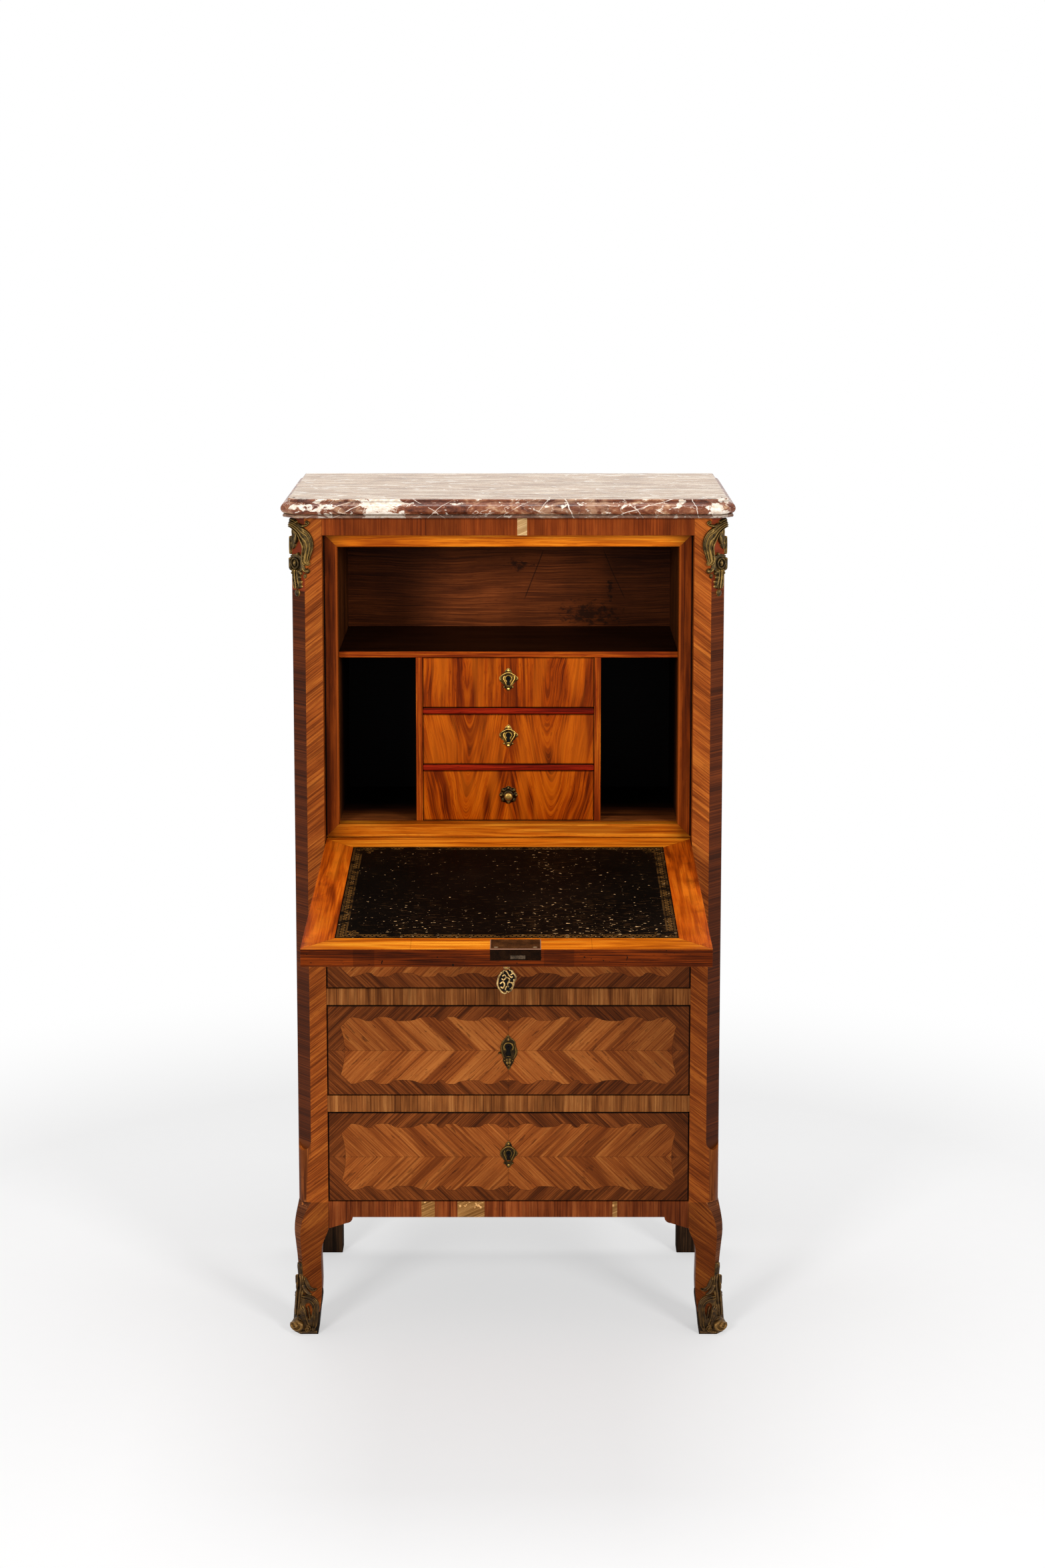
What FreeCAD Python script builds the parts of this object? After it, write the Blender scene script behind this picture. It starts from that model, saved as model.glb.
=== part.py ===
import FreeCAD, Part
import math
import os
import re
import Sketcher

V = FreeCAD.Vector
doc = FreeCAD.newDocument("escritoire")
sheet = doc.addObject("Spreadsheet::Sheet", "Sizes")

# Driving sizes in millimetres and degrees. X runs to the right, Y to the back, Z up from the floor.
# Depths are counted from the front faces of the posts, which stand at Y = front_y.
SIZES = [
    ("front_y", "65", "front faces of the posts, from the origin below the middle of the open piece"),
    ("inner_width", "551", "clear width between the front posts"),
    ("post_width", "46", "front post, seen from the front"),
    ("post_depth", "46", "front post, seen from the side"),
    ("post_round", "20", "rounded outer corner of the post"),
    ("cant_size", "20.4", "canted corner, along each face of the post"),
    ("cant_rise", "94.5", "middle of the cant's round lower end above the lowest drawer's opening"),
    ("case_depth", "335", "front of the posts to the back of the rear posts"),
    ("side_thickness", "20", "side panels"),
    ("rear_post_depth", "32", "rear posts, seen from the side"),
    ("back_thickness", "12", "back panel"),
    ("back_inset", "11", "back panel in from the back of the rear posts"),
    ("top_thickness", "18", "case top board"),
    ("apron_bottom", "184.5", "straight lower edge of the apron"),
    ("apron_height", "25", "apron under the lowest drawer"),
    ("apron_thickness", "24", "apron from front to back"),
    ("bracket_drop", "18", "bracket ends below the apron's straight edge"),
    ("bracket_length", "37", "bracket ends along the apron"),
    ("bracket_round", "9.5", "round at the inner end of each bracket"),
    ("drawer_opening", "142.5", "height of each large drawer's opening"),
    ("rail_height", "25.5", "rails between the large drawers"),
    ("fall_rail_height", "19", "rail between the top drawer and the fall"),
    ("frieze_height", "27", "frieze rail under the marble"),
    ("leg_step", "1.5", "start of the leg's swelling below the lowest drawer's opening"),
    ("thigh_rise", "1.5", "thigh above the apron's straight edge"),
    ("thigh_bulge", "4.5", "thigh beyond the post's outer faces"),
    ("thigh_spare", "3", "thigh grown past the post's inner faces, before it is trimmed to them"),
    ("thigh_cant", "12.5", "cant at the thigh"),
    ("knee_drop", "19.5", "knee below the apron's straight edge"),
    ("knee_bulge", "6.3", "knee beyond the post's outer faces"),
    ("knee_inset", "0.6", "knee in from the post's inner faces"),
    ("knee_cant", "9.5", "cant at the knee"),
    ("calf_drop", "36.5", "calf below the apron's straight edge"),
    ("calf_bulge", "5", "calf beyond the post's outer faces"),
    ("calf_inset", "7.5", "calf in from the post's inner faces"),
    ("calf_cant", "8", "cant at the calf"),
    ("ankle_drop", "62.5", "upper ankle below the apron's straight edge"),
    ("ankle_bulge", "2.4", "ankle beyond the post's outer faces"),
    ("ankle_inset", "11.8", "ankle in from the post's inner faces"),
    ("ankle_cant", "7", "cant at the ankle"),
    ("shin_height", "70", "height of the slimmest part of the leg"),
    ("shin_bulge", "1", "slimmest part beyond the post's outer faces"),
    ("shin_inset", "11.2", "slimmest part in from the post's inner faces"),
    ("shin_cant", "7", "cant at the slimmest part"),
    ("foot_bulge", "6", "foot beyond the post's outer faces"),
    ("foot_inset", "19", "foot in from the post's inner faces"),
    ("foot_cant", "8", "cant at the foot"),
    ("marble_thickness", "27.5", "marble top"),
    ("marble_overhang", "15", "marble beyond the case at the front and sides"),
    ("marble_cant", "21", "canted front corners of the marble"),
    ("mould_width", "21", "width of the marble's moulded edge"),
    ("mould_step", "5", "small upright step at the top of the moulding"),
    ("mould_foot", "6", "upright foot at the bottom of the moulding"),
    ("mould_return", "2.5", "foot of the moulding in from its widest part"),
    ("tail_clear", "0.93", "swinging tail of the fall to the rail below it"),
    ("pin_radius", "4", "pivot pins"),
    ("pin_in_post", "20", "pivot pin's length in the post"),
    ("pin_in_fall", "12", "pivot pin's length in the fall"),
    ("pin_clearance", "0.05", "round the pivot pins and their sockets"),
    ("socket_radius", "7", "pivot sockets"),
    ("socket_length", "14", "pivot sockets"),
    ("fall_thickness", "25", "fall panel"),
    ("fall_gap", "1.2", "fall panel to the posts and the frieze"),
    ("fall_tail", "49", "fall below its pivots when it is shut"),
    ("fall_sag", "3", "degrees that the open fall hangs below level"),
    ("stop_gap", "0.1", "fall's tail to its stop"),
    ("stop_depth", "26", "stop rail from front to back"),
    ("leather_side", "42.8", "wooden border beside the writing leather"),
    ("leather_start", "27", "writing leather from the pivots"),
    ("leather_lock_gap", "4.8", "writing leather to the fall's lock"),
    ("leather_thickness", "1", "writing leather, let in flush"),
    ("leather_gap", "0.2", "round the leather"),
    ("frame_gap", "0.6", "shut fall to the stop frame"),
    ("frame_side", "20.5", "stop frame's upright members"),
    ("frame_head", "20", "stop frame's top member"),
    ("frame_sill", "19.5", "stop frame's bottom member"),
    ("sill_clear", "0.95", "stop frame above the open fall's tail"),
    ("upper_space", "162.5", "height of the open compartment over the nest's shelf"),
    ("nest_floor_thickness", "10", "nest's floor"),
    ("nest_wall", "10", "nest's walls and back"),
    ("nest_rear_gap", "19", "nest's back to the front of the rear posts"),
    ("nest_edge", "1.5", "nest's shelves and dividers behind the stop frame"),
    ("shelf_thickness", "9.2", "nest's shelf"),
    ("divider_thickness", "10", "nest's dividers"),
    ("blade_thickness", "9.55", "boards between the small drawers"),
    ("small_width", "259", "width of the small drawers' openings"),
    ("small_opening", "77.4", "height of the small drawers' openings"),
    ("small_gap", "0.6", "small drawer fronts to their openings"),
    ("small_setback", "1.5", "small drawer fronts behind the shelf's edge"),
    ("small_front", "10", "thickness of the small drawer fronts"),
    ("small_wall", "6", "small drawer sides and backs"),
    ("small_bottom", "4", "small drawer bottoms"),
    ("small_side", "62", "height of the small drawer sides"),
    ("small_rear_gap", "10", "small drawers to the nest's back"),
    ("drawer_gap", "1.4", "large drawer fronts to their openings"),
    ("drawer_front", "22", "thickness of the large drawer fronts"),
    ("drawer_wall", "10", "large drawer sides and backs"),
    ("drawer_bottom", "7", "large drawer bottoms"),
    ("drawer_bottom_lift", "7", "large drawer bottoms above the runners"),
    ("drawer_side", "112", "height of the large drawer sides"),
    ("drawer_rear_gap", "15", "large drawers to the rear posts"),
    ("slide_gap", "0.25", "drawer sides to what they slide on"),
    ("runner_width", "20", "runner under each drawer side, inside the guide"),
    ("runner_height", "18", "runner"),
    ("guide_height", "34", "guide beside each drawer"),
    ("dust_thickness", "9", "dust boards"),
    ("dust_drop", "2", "dust boards in from the rails' edges"),
    ("keyhole_height", "77", "large drawers' keyholes above the opening's lower edge"),
    ("keyhole_radius", "2.6", "keyholes"),
    ("lock_width", "56", "large drawers' locks"),
    ("lock_drop", "14", "locks below their keyholes"),
    ("lock_depth", "9", "locks let into the drawer fronts"),
    ("bolt_width", "18", "large lock bolts"),
    ("bolt_thickness", "4", "large lock bolts"),
    ("bolt_back", "3", "large lock bolts behind the locks' front faces"),
    ("bolt_length", "30", "large lock bolts"),
    ("bolt_throw", "7", "travel of the large lock bolts"),
    ("bolt_gap", "0.25", "round the lock bolts"),
    ("small_keyhole_height", "45", "small drawers' keyholes above the opening's lower edge"),
    ("small_lock_width", "36", "small drawers' locks"),
    ("small_lock_drop", "9", "small locks below their keyholes"),
    ("small_lock_depth", "5", "small locks let into the drawer fronts"),
    ("small_bolt_width", "12", "small lock bolts"),
    ("small_bolt_thickness", "2.5", "small lock bolts"),
    ("small_bolt_back", "1", "small lock bolts behind the locks' front faces"),
    ("small_bolt_length", "16", "small lock bolts"),
    ("small_bolt_throw", "4.5", "travel of the small lock bolts"),
    ("mortise_spare", "1", "bolt mortises beyond the bolts all round"),
    ("plate_thickness", "2", "escutcheon plates"),
    ("plate_width", "30", "shield-shaped escutcheons across"),
    ("plate_height", "57", "shield-shaped escutcheons on the large drawers"),
    ("fall_plate_height", "50", "shield-shaped escutcheon outside the fall"),
    ("heart_width", "27", "heart-shaped escutcheon of the lowest drawer, across"),
    ("heart_height", "45", "heart-shaped escutcheon of the lowest drawer"),
    ("plate_drop", "7", "middle of the shield-shaped escutcheons below the keyholes"),
    ("heart_drop", "3", "middle of the lowest drawer's escutcheon below its keyhole"),
    ("keyhole_slot", "9", "slot below the large drawers' keyholes"),
    ("small_plate_width", "30", "small drawers' escutcheons across"),
    ("small_plate_height", "38", "small drawers' escutcheons"),
    ("small_plate_drop", "1.5", "middle of the small escutcheons below the keyholes"),
    ("small_keyhole_slot", "7", "slot below the small drawers' keyholes"),
    ("fall_lock_left", "22", "fall's lock left of the keyhole"),
    ("fall_lock_width", "68", "fall's lock"),
    ("fall_lock_depth", "38.5", "fall's lock from the fall's edge"),
    ("fall_lock_case", "15", "fall's lock into the panel"),
    ("fall_plate", "2", "fall's lock plates"),
    ("lock_wall", "1", "spare room in the locks beyond the bolts and the key's bit"),
    ("fall_plate_rim", "4", "lock plates beyond the lock's case"),
    ("fall_bolt_offset", "15", "middle of the fall's bolt right of the keyhole"),
    ("fall_bolt_width", "20", "fall's bolt"),
    ("fall_bolt_back", "1", "middle of the fall's bolt behind the middle of the panel"),
    ("fall_bolt_thickness", "5", "fall's bolt"),
    ("fall_bolt_length", "27", "fall's bolt"),
    ("fall_bolt_throw", "9", "travel of the fall's bolt"),
    ("key_radius", "3", "key's stem"),
    ("key_gap", "0.4", "round the key's stem"),
    ("key_stem", "10", "key's stem outside the fall, to the bow"),
    ("key_bit_length", "9", "key's bit, from the stem's middle"),
    ("key_bit_width", "4", "key's bit along the stem"),
    ("key_bow_width", "25", "key's bow across"),
    ("key_bow_length", "34", "key's bow along the key"),
    ("key_bow_bar", "3.4", "bars of the key's bow"),
    ("key_collar", "4.4", "collar under the key's bow, its radius and length"),
    ("mount_height", "118", "corner mounts"),
    ("mount_width", "46", "corner mounts across the cant"),
    ("mount_relief", "6", "corner mounts' thickness"),
    ("mount_drop", "3", "corner mounts below the marble"),
    ("sabot_wall", "2.6", "sabots round the feet"),
    ("sabot_height", "52", "sabots' sleeve"),
    ("eye_radius", "6.5", "round eye in each outer face of the sabots' sleeve"),
    ("eye_height", "36", "middle of the eye above the floor"),
    ("eye_back", "30", "middle of the eye from the foot's outer corner, along each face"),
    ("sabot_leaf", "108", "height of the sabots' leaf up the corner"),
    ("leaf_reach", "30", "width of the leaf's foot along each face of the leg"),
    ("sabot_seat", "10", "depth of the leaf's blank into the leg, before the leg is taken out of it"),
    ("toe_radius", "8.5", "sabots' toe scroll"),
    ("toe_length", "24", "sabots' toe scroll"),
    ("toe_back", "7", "middle of the toe scroll in from the foot's outer faces"),
    ("knob_radius", "13", "knob's rosette"),
    ("knob_length", "14", "knob from the drawer front"),
    ("knob_height", "39.5", "knob above the opening's lower edge"),
]

# Heights and places that follow from the driving sizes.
DERIVED = [
    ("open_half", "inner_width / 2"),
    ("half_width", "open_half + post_width"),
    ("side_inner", "half_width - side_thickness"),
    ("rear_y", "case_depth - rear_post_depth"),
    ("rail_depth", "post_depth"),
    ("runner_half", "open_half - runner_width"),
    ("bottom_z", "apron_bottom + apron_height"),
    ("middle_z", "bottom_z + drawer_opening + rail_height"),
    ("upper_z", "middle_z + drawer_opening + rail_height"),
    ("fall_rail_z", "upper_z + drawer_opening"),
    ("leg_top", "bottom_z - leg_step"),
    ("thigh_height", "apron_bottom + thigh_rise"),
    ("knee_height", "apron_bottom - knee_drop"),
    ("calf_height", "apron_bottom - calf_drop"),
    ("ankle_height", "apron_bottom - ankle_drop"),
    ("cant_stop", "bottom_z + cant_rise"),
    ("fall_half_thickness", "fall_thickness / 2"),
    ("tail_radius", "sqrt(fall_tail * fall_tail + fall_half_thickness * fall_half_thickness)"),
    ("pivot_y", "fall_half_thickness"),
    ("pivot_z", "fall_rail_z + fall_rail_height + tail_radius + tail_clear"),
    ("tail_lift", "fall_tail * sin(fall_sag * 1 deg) + fall_half_thickness * cos(fall_sag * 1 deg)"),
    ("nest_floor_z", "pivot_z + tail_lift + sill_clear + frame_sill"),
    ("lower_small_z", "nest_floor_z"),
    ("middle_small_z", "lower_small_z + small_opening + blade_thickness"),
    ("upper_small_z", "middle_small_z + small_opening + blade_thickness"),
    ("shelf_z", "upper_small_z + small_opening"),
    ("head_z", "shelf_z + shelf_thickness + upper_space"),
    ("frieze_bottom", "head_z + frame_head"),
    ("case_height", "frieze_bottom + frieze_height"),
    ("top_z", "case_height - top_thickness"),
    ("frame_y", "fall_thickness + frame_gap"),
    ("nest_y", "post_depth"),
    ("frame_depth", "nest_y - frame_y"),
    ("nest_half", "open_half - frame_side"),
    ("nest_front", "nest_y + nest_edge"),
    ("nest_back_y", "rear_y - nest_rear_gap - nest_wall"),
    ("small_half", "small_width / 2"),
    ("fall_half", "open_half - fall_gap"),
    ("fall_reach", "frieze_bottom - fall_gap - pivot_z"),
    ("leather_width", "2 * (fall_half - leather_side)"),
    ("leather_length", "fall_reach - leather_start - fall_lock_depth - leather_lock_gap"),
    ("key_back", "fall_lock_depth - fall_plate_rim - key_bit_length - 2 * lock_wall"),
    ("key_reach", "fall_reach - key_back"),
]

for row, (alias, number, note) in enumerate(SIZES, 1):
    sheet.set("A%d" % row, note)
    sheet.set("B%d" % row, number)
    sheet.setAlias("B%d" % row, alias)
for row, (alias, formula) in enumerate(DERIVED, len(SIZES) + 2):
    sheet.set("A%d" % row, "follows from the sizes above")
    sheet.set("B%d" % row, "=" + formula)
    sheet.setAlias("B%d" % row, alias)
doc.recompute()

NAMES = {item[0] for item in SIZES} | {item[0] for item in DERIVED}
NODES = []


def sheet_text(formula):
    """The formula with each named size read from the sheet."""
    return re.sub(r"[A-Za-z_]+", lambda m: "Sizes." + m.group(0) if m.group(0) in NAMES else m.group(0), formula)


def size(formula):
    """The formula's present value in millimetres."""
    found = sheet.evalExpression(sheet_text(formula))
    return float(getattr(found, "Value", found))


def bind(obj, prop, formula):
    obj.setExpression(prop, sheet_text(formula))


def node(obj, label):
    """Give a finished sub-part its name and put it on the list of what is written out."""
    obj.Label = label
    NODES.append(obj)
    return obj


def board(name, x, y, z, dx, dy, dz):
    """A plain board: its low corner and its three sizes, with depths counted from the posts' front."""
    box = doc.addObject("Part::Box", name)
    bind(box, "Length", dx)
    bind(box, "Width", dy)
    bind(box, "Height", dz)
    bind(box, "Placement.Base.x", x)
    bind(box, "Placement.Base.y", "front_y + " + y)
    bind(box, "Placement.Base.z", z)
    return box


def span(name, half, y, z, dy, dz):
    """A board that runs the same way to both sides of the middle."""
    return board(name, "-(" + half + ")", y, z, "2 * (" + half + ")", dy, dz)


def cut(name, base, tool):
    result = doc.addObject("Part::Cut", name)
    result.Base = base
    result.Tool = tool
    return result


def fuse(name, shapes):
    result = doc.addObject("Part::MultiFuse", name)
    result.Shapes = shapes
    result.Refine = True
    return result


def together(label, members):
    """Several separate solids that share one node."""
    result = doc.addObject("Part::Compound", label)
    result.Links = members
    return node(result, label)


def mirrored(name, source):
    result = doc.addObject("Part::Mirroring", name)
    result.Source = source
    result.Base = V(0, 0, 0)
    result.Normal = V(1, 0, 0)
    return result


def new_body(name):
    return doc.addObject("PartDesign::Body", name)


def block(body, name, x, y, z, dx, dy, dz, remove=False):
    """A box added to a body or taken out of it, in the body's own frame."""
    kind = "PartDesign::SubtractiveBox" if remove else "PartDesign::AdditiveBox"
    box = body.newObject(kind, name)
    bind(box, "Length", dx)
    bind(box, "Width", dy)
    bind(box, "Height", dz)
    bind(box, "Placement.Base.x", x)
    bind(box, "Placement.Base.y", y)
    bind(box, "Placement.Base.z", z)
    return box


def rod(body, name, x, y, z, radius, length, turn, remove=False):
    """A round bar or bore in a body: its axis is Z turned by the given rotation."""
    kind = "PartDesign::SubtractiveCylinder" if remove else "PartDesign::AdditiveCylinder"
    bar = body.newObject(kind, name)
    bar.Placement = FreeCAD.Placement(V(0, 0, 0), turn)
    bind(bar, "Radius", radius)
    bind(bar, "Height", length)
    bind(bar, "Placement.Base.x", x)
    bind(bar, "Placement.Base.y", y)
    bind(bar, "Placement.Base.z", z)
    return bar


ALONG_X = FreeCAD.Rotation(V(0, 1, 0), 90)
ALONG_Y = FreeCAD.Rotation(V(1, 0, 0), -90)
UPRIGHT = FreeCAD.Rotation()


def outline(owner, name, role, corners, offset=None, arcs=None):
    """A closed sketch. Each corner is held by two dimensions from the sketch's origin.

    arcs gives, for the edge that starts at a corner, a radius and whether the arc runs anticlockwise.
    """
    arcs = arcs or {}
    if owner is None:
        sketch = doc.addObject("Sketcher::SketchObject", name)
        if offset:
            bind(sketch, "Placement.Base.z", offset)
            bind(sketch, "Placement.Base.y", "front_y")
    else:
        sketch = owner.newObject("Sketcher::SketchObject", name)
        plane = [f for f in owner.Origin.OriginFeatures if f.Role == role][0]
        sketch.AttachmentSupport = [(plane, "")]
        sketch.MapMode = "FlatFace"
        if offset:
            bind(sketch, "AttachmentOffset.Base.z", offset)
    at = [V(size(x), size(y), 0) for x, y in corners]
    count = len(at)
    starts = []
    for i in range(count):
        a, b = at[i], at[(i + 1) % count]
        if i in arcs:
            radius, left = size(arcs[i][0]), arcs[i][1]
            along = b - a
            across = V(-along.y, along.x, 0).normalize() * (1 if left else -1)
            centre = (a + b) / 2 + across * math.sqrt(max(radius ** 2 - along.Length ** 2 / 4, 0))
            middle = centre - across * radius
            sketch.addGeometry(Part.Arc(a, middle, b))
            first = 1 if (sketch.getPoint(i, 1) - a).Length < (sketch.getPoint(i, 2) - a).Length else 2
        else:
            sketch.addGeometry(Part.LineSegment(a, b))
            first = 1
        starts.append(first)
    for i in range(count):
        following = (i + 1) % count
        sketch.addConstraint(Sketcher.Constraint("Coincident", i, 3 - starts[i], following, starts[following]))
    for i, (x, y) in enumerate(corners):
        for kind, formula, number in (("DistanceX", x, at[i].x), ("DistanceY", y, at[i].y)):
            k = sketch.addConstraint(Sketcher.Constraint(kind, -1, 1, i, starts[i], number))
            bind(sketch, "Constraints[%d]" % k, formula)
    for i, (radius, left) in arcs.items():
        k = sketch.addConstraint(Sketcher.Constraint("Radius", i, size(radius)))
        bind(sketch, "Constraints[%d]" % k, radius)
    return sketch


def pad(body, sketch, length, back=False):
    feature = body.newObject("PartDesign::Pad", sketch.Name + "_pad")
    feature.Profile = sketch
    bind(feature, "Length", length)
    feature.Reversed = back
    return feature


def set_forward(body):
    """A body drawn from the posts' front faces."""
    bind(body, "Placement.Base.y", "front_y")


# Marble top: a slab with a straight back, and a moulding that runs round its sides, its canted corners and its front.
marble = new_body("marble")
bind(marble, "Placement.Base.y", "front_y")
bind(marble, "Placement.Base.z", "case_height")
flat = "(half_width + marble_overhang - mould_width)"
near = "(mould_width - marble_overhang)"
inset = "(marble_cant - mould_width * 0.5857864)"
slab = outline(marble, "marble_slab", "XY_Plane", [
    ("-" + flat, "case_depth"),
    ("-" + flat, near + " + " + inset),
    ("-" + flat + " + " + inset, near),
    (flat + " - " + inset, near),
    (flat, near + " + " + inset),
    (flat, "case_depth"),
])
pad(marble, slab, "marble_thickness")
path = marble.newObject("Sketcher::SketchObject", "marble_path")
path.AttachmentSupport = [([f for f in marble.Origin.OriginFeatures if f.Role == "XY_Plane"][0], "")]
path.MapMode = "FlatFace"
route = [
    ("-" + flat, "case_depth"),
    ("-" + flat, near + " + " + inset),
    ("-" + flat + " + " + inset, near),
    (flat + " - " + inset, near),
    (flat, near + " + " + inset),
    (flat, "case_depth"),
]
stops = [V(size(x), size(y), 0) for x, y in route]
for a, b in zip(stops, stops[1:]):
    path.addGeometry(Part.LineSegment(a, b))
for i in range(len(stops) - 2):
    path.addConstraint(Sketcher.Constraint("Coincident", i, 2, i + 1, 1))
for i, (x, y) in enumerate(route):
    held = (i, 1) if i < len(route) - 1 else (i - 1, 2)
    for kind, formula, number in (("DistanceX", x, stops[i].x), ("DistanceY", y, stops[i].y)):
        k = path.addConstraint(Sketcher.Constraint(kind, -1, 1, held[0], held[1], number))
        bind(path, "Constraints[%d]" % k, formula)
# The moulding's section: a foot, a full round and a hollow under the small upright step.
section = outline(marble, "marble_section", "XZ_Plane", [
    ("-" + flat, "0"),
    ("-" + flat, "marble_thickness - mould_step"),
    ("-" + flat + " - mould_width * 0.3", "marble_thickness - mould_step"),
    ("-" + flat + " - mould_width", "marble_thickness * 0.42"),
    ("-" + flat + " - mould_width + mould_return", "mould_foot"),
    ("-" + flat + " - mould_width + mould_return", "0"),
], arcs={2: ("marble_thickness * 0.52", True), 3: ("marble_thickness * 0.24", True)})
bind(section, "AttachmentOffset.Base.z", "-case_depth")
moulding = marble.newObject("PartDesign::AdditivePipe", "marble_moulding")
moulding.Profile = section
moulding.Spine = (path, [])
moulding.Transition = "Right corner"
node(marble, "marble_top")

# Front posts: a square post with a rounded outer corner, canted above a round stop, running down into a curved leg.
post = new_body("left_post")
set_forward(post)
shaft = outline(post, "post_shaft", "XY_Plane", [
    ("-open_half", "0"),
    ("-open_half", "post_depth"),
    ("-half_width", "post_depth"),
    ("-half_width", "post_round"),
    ("-half_width + post_round", "0"),
], offset="leg_top", arcs={3: ("post_round", True)})
pad(post, shaft, "case_height - leg_top")
STATIONS = [
    ("leg_top", "0", "0", "post_round"),
    ("thigh_height", "thigh_bulge", "-thigh_spare", "thigh_cant"),
    ("knee_height", "knee_bulge", "knee_inset", "knee_cant"),
    ("calf_height", "calf_bulge", "calf_inset", "calf_cant"),
    ("ankle_height", "ankle_bulge", "ankle_inset", "ankle_cant"),
    ("shin_height", "shin_bulge", "shin_inset", "shin_cant"),
    ("0", "foot_bulge", "foot_inset", "foot_cant"),
]


def leg_corners(out, inset, cant, wall="0"):
    """The leg's section: square, with its outer corner canted; wall grows it evenly."""
    grow = "(" + out + " + " + wall + ")"
    keep = "(" + inset + " - " + wall + ")"
    chop = "(" + cant + " + 0.5857864 * (" + wall + "))"
    return [
        ("-open_half - " + keep, "-" + grow),
        ("-open_half - " + keep, "post_depth - " + keep),
        ("-half_width - " + grow, "post_depth - " + keep),
        ("-half_width - " + grow, "-" + grow + " + " + chop),
        ("-half_width - " + grow + " + " + chop, "-" + grow),
    ]


rings = []
for i, (height, out, inset_by, cant) in enumerate(STATIONS):
    rings.append(outline(post, "leg_ring_%d" % i, "XY_Plane", leg_corners(out, inset_by, cant), offset=height))
leg = post.newObject("PartDesign::AdditiveLoft", "leg")
leg.Profile = rings[0]
leg.Sections = [(ring, [""]) for ring in rings[1:]]
# The leg's swelling stays within the post's two inner faces.
block(post, "inner_trim", "-open_half", "-post_depth", "0", "post_width", "3 * post_depth", "leg_top", remove=True)
block(post, "rear_trim", "-half_width - post_width", "post_depth", "0", "3 * post_width", "post_depth", "leg_top",
      remove=True)
cant_face = "cant_size * 1.4142136"
canter = post.newObject("PartDesign::SubtractiveBox", "cant")
canter.Placement = FreeCAD.Placement(V(0, 0, 0), FreeCAD.Rotation(V(0, 0, 1), -45))
bind(canter, "Length", cant_face)
bind(canter, "Width", "post_width")
bind(canter, "Height", "case_height - cant_stop")
bind(canter, "Placement.Base.x", "-half_width - post_width * 0.7071068")
bind(canter, "Placement.Base.y", "cant_size - post_width * 0.7071068")
bind(canter, "Placement.Base.z", "cant_stop")
stop_round = post.newObject("PartDesign::SubtractiveCylinder", "cant_end")
stop_round.Placement = FreeCAD.Placement(
    V(0, 0, 0), FreeCAD.Rotation(V(0, 0, 1), -45).multiply(FreeCAD.Rotation(V(1, 0, 0), 90)))
bind(stop_round, "Radius", "cant_size * 0.7071068")
bind(stop_round, "Height", "post_width")
bind(stop_round, "Placement.Base.x", "-half_width + cant_size / 2")
bind(stop_round, "Placement.Base.y", "cant_size / 2")
bind(stop_round, "Placement.Base.z", "cant_stop")
rod(post, "post_pin_bore", "-open_half - pin_in_post", "pivot_y", "pivot_z", "pin_radius + pin_clearance",
    "pin_in_post + post_depth", ALONG_X, remove=True)
node(post, "left_front_post")
node(mirrored("right_post", post), "right_front_post")

# Rear posts: plain square posts whose lower ends are the rear legs.
node(board("rear_post_left", "-half_width", "rear_y", "0", "post_width", "rear_post_depth", "case_height"),
     "left_rear_post")
node(board("rear_post_right", "open_half", "rear_y", "0", "post_width", "rear_post_depth", "case_height"),
     "right_rear_post")

# Side panels between the posts, with bracket ends on their lower edges.
def side_panel(name, x):
    panel = new_body(name)
    set_forward(panel)
    bind(panel, "Placement.Base.x", x)
    low = "(apron_bottom - bracket_drop)"
    edge = outline(panel, name + "_outline", "YZ_Plane", [
        ("post_depth", low),
        ("post_depth + bracket_length - bracket_round", "apron_bottom - bracket_round"),
        ("post_depth + bracket_length", "apron_bottom"),
        ("rear_y - bracket_length", "apron_bottom"),
        ("rear_y - bracket_length + bracket_round", "apron_bottom - bracket_round"),
        ("rear_y", low),
        ("rear_y", "case_height"),
        ("post_depth", "case_height"),
    ], arcs={1: ("bracket_round", True), 3: ("bracket_round", True)})
    pad(panel, edge, "side_thickness")
    return panel


node(side_panel("side_left", "-half_width"), "left_side_panel")
node(side_panel("side_right", "side_inner"), "right_side_panel")

# Back panel, case top and the boards between the drawers.
node(span("back", "open_half", "case_depth - back_inset - back_thickness", "apron_bottom", "back_thickness",
          "case_height - apron_bottom"), "back_panel")
node(span("case_cover", "side_inner", "rail_depth", "top_z", "rear_y - rail_depth", "top_thickness"), "case_top")
dust = []
for name, level in (("case_floor", "bottom_z"), ("dust_low", "middle_z"), ("dust_high", "upper_z")):
    dust.append(span(name, "runner_half", "rail_depth", level + " - dust_thickness - dust_drop", "rear_y - rail_depth",
                     "dust_thickness"))
dust.append(span("dust_top", "side_inner", "rail_depth", "fall_rail_z + dust_drop", "rear_y - rail_depth",
                 "dust_thickness"))
together("dust_boards", dust)

# Runners: an L-shaped strip on each side of each large drawer carries and guides it.
runners = []
for level in ("bottom_z", "middle_z", "upper_z"):
    for side in ("left", "right"):
        tag = "%s_%s" % (level, side)
        foot_x = "-side_inner" if side == "left" else "runner_half"
        wall_x = "-side_inner" if side == "left" else "open_half"
        foot = board("runner_foot_" + tag, foot_x, "post_depth", level + " - runner_height",
                     "side_inner - runner_half", "rear_y - post_depth", "runner_height")
        wall = board("runner_wall_" + tag, wall_x, "post_depth", level, "side_inner - open_half",
                     "rear_y - post_depth", "guide_height")
        runners.append(fuse("runner_" + tag, [foot, wall]))
together("drawer_runners", runners)

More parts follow.
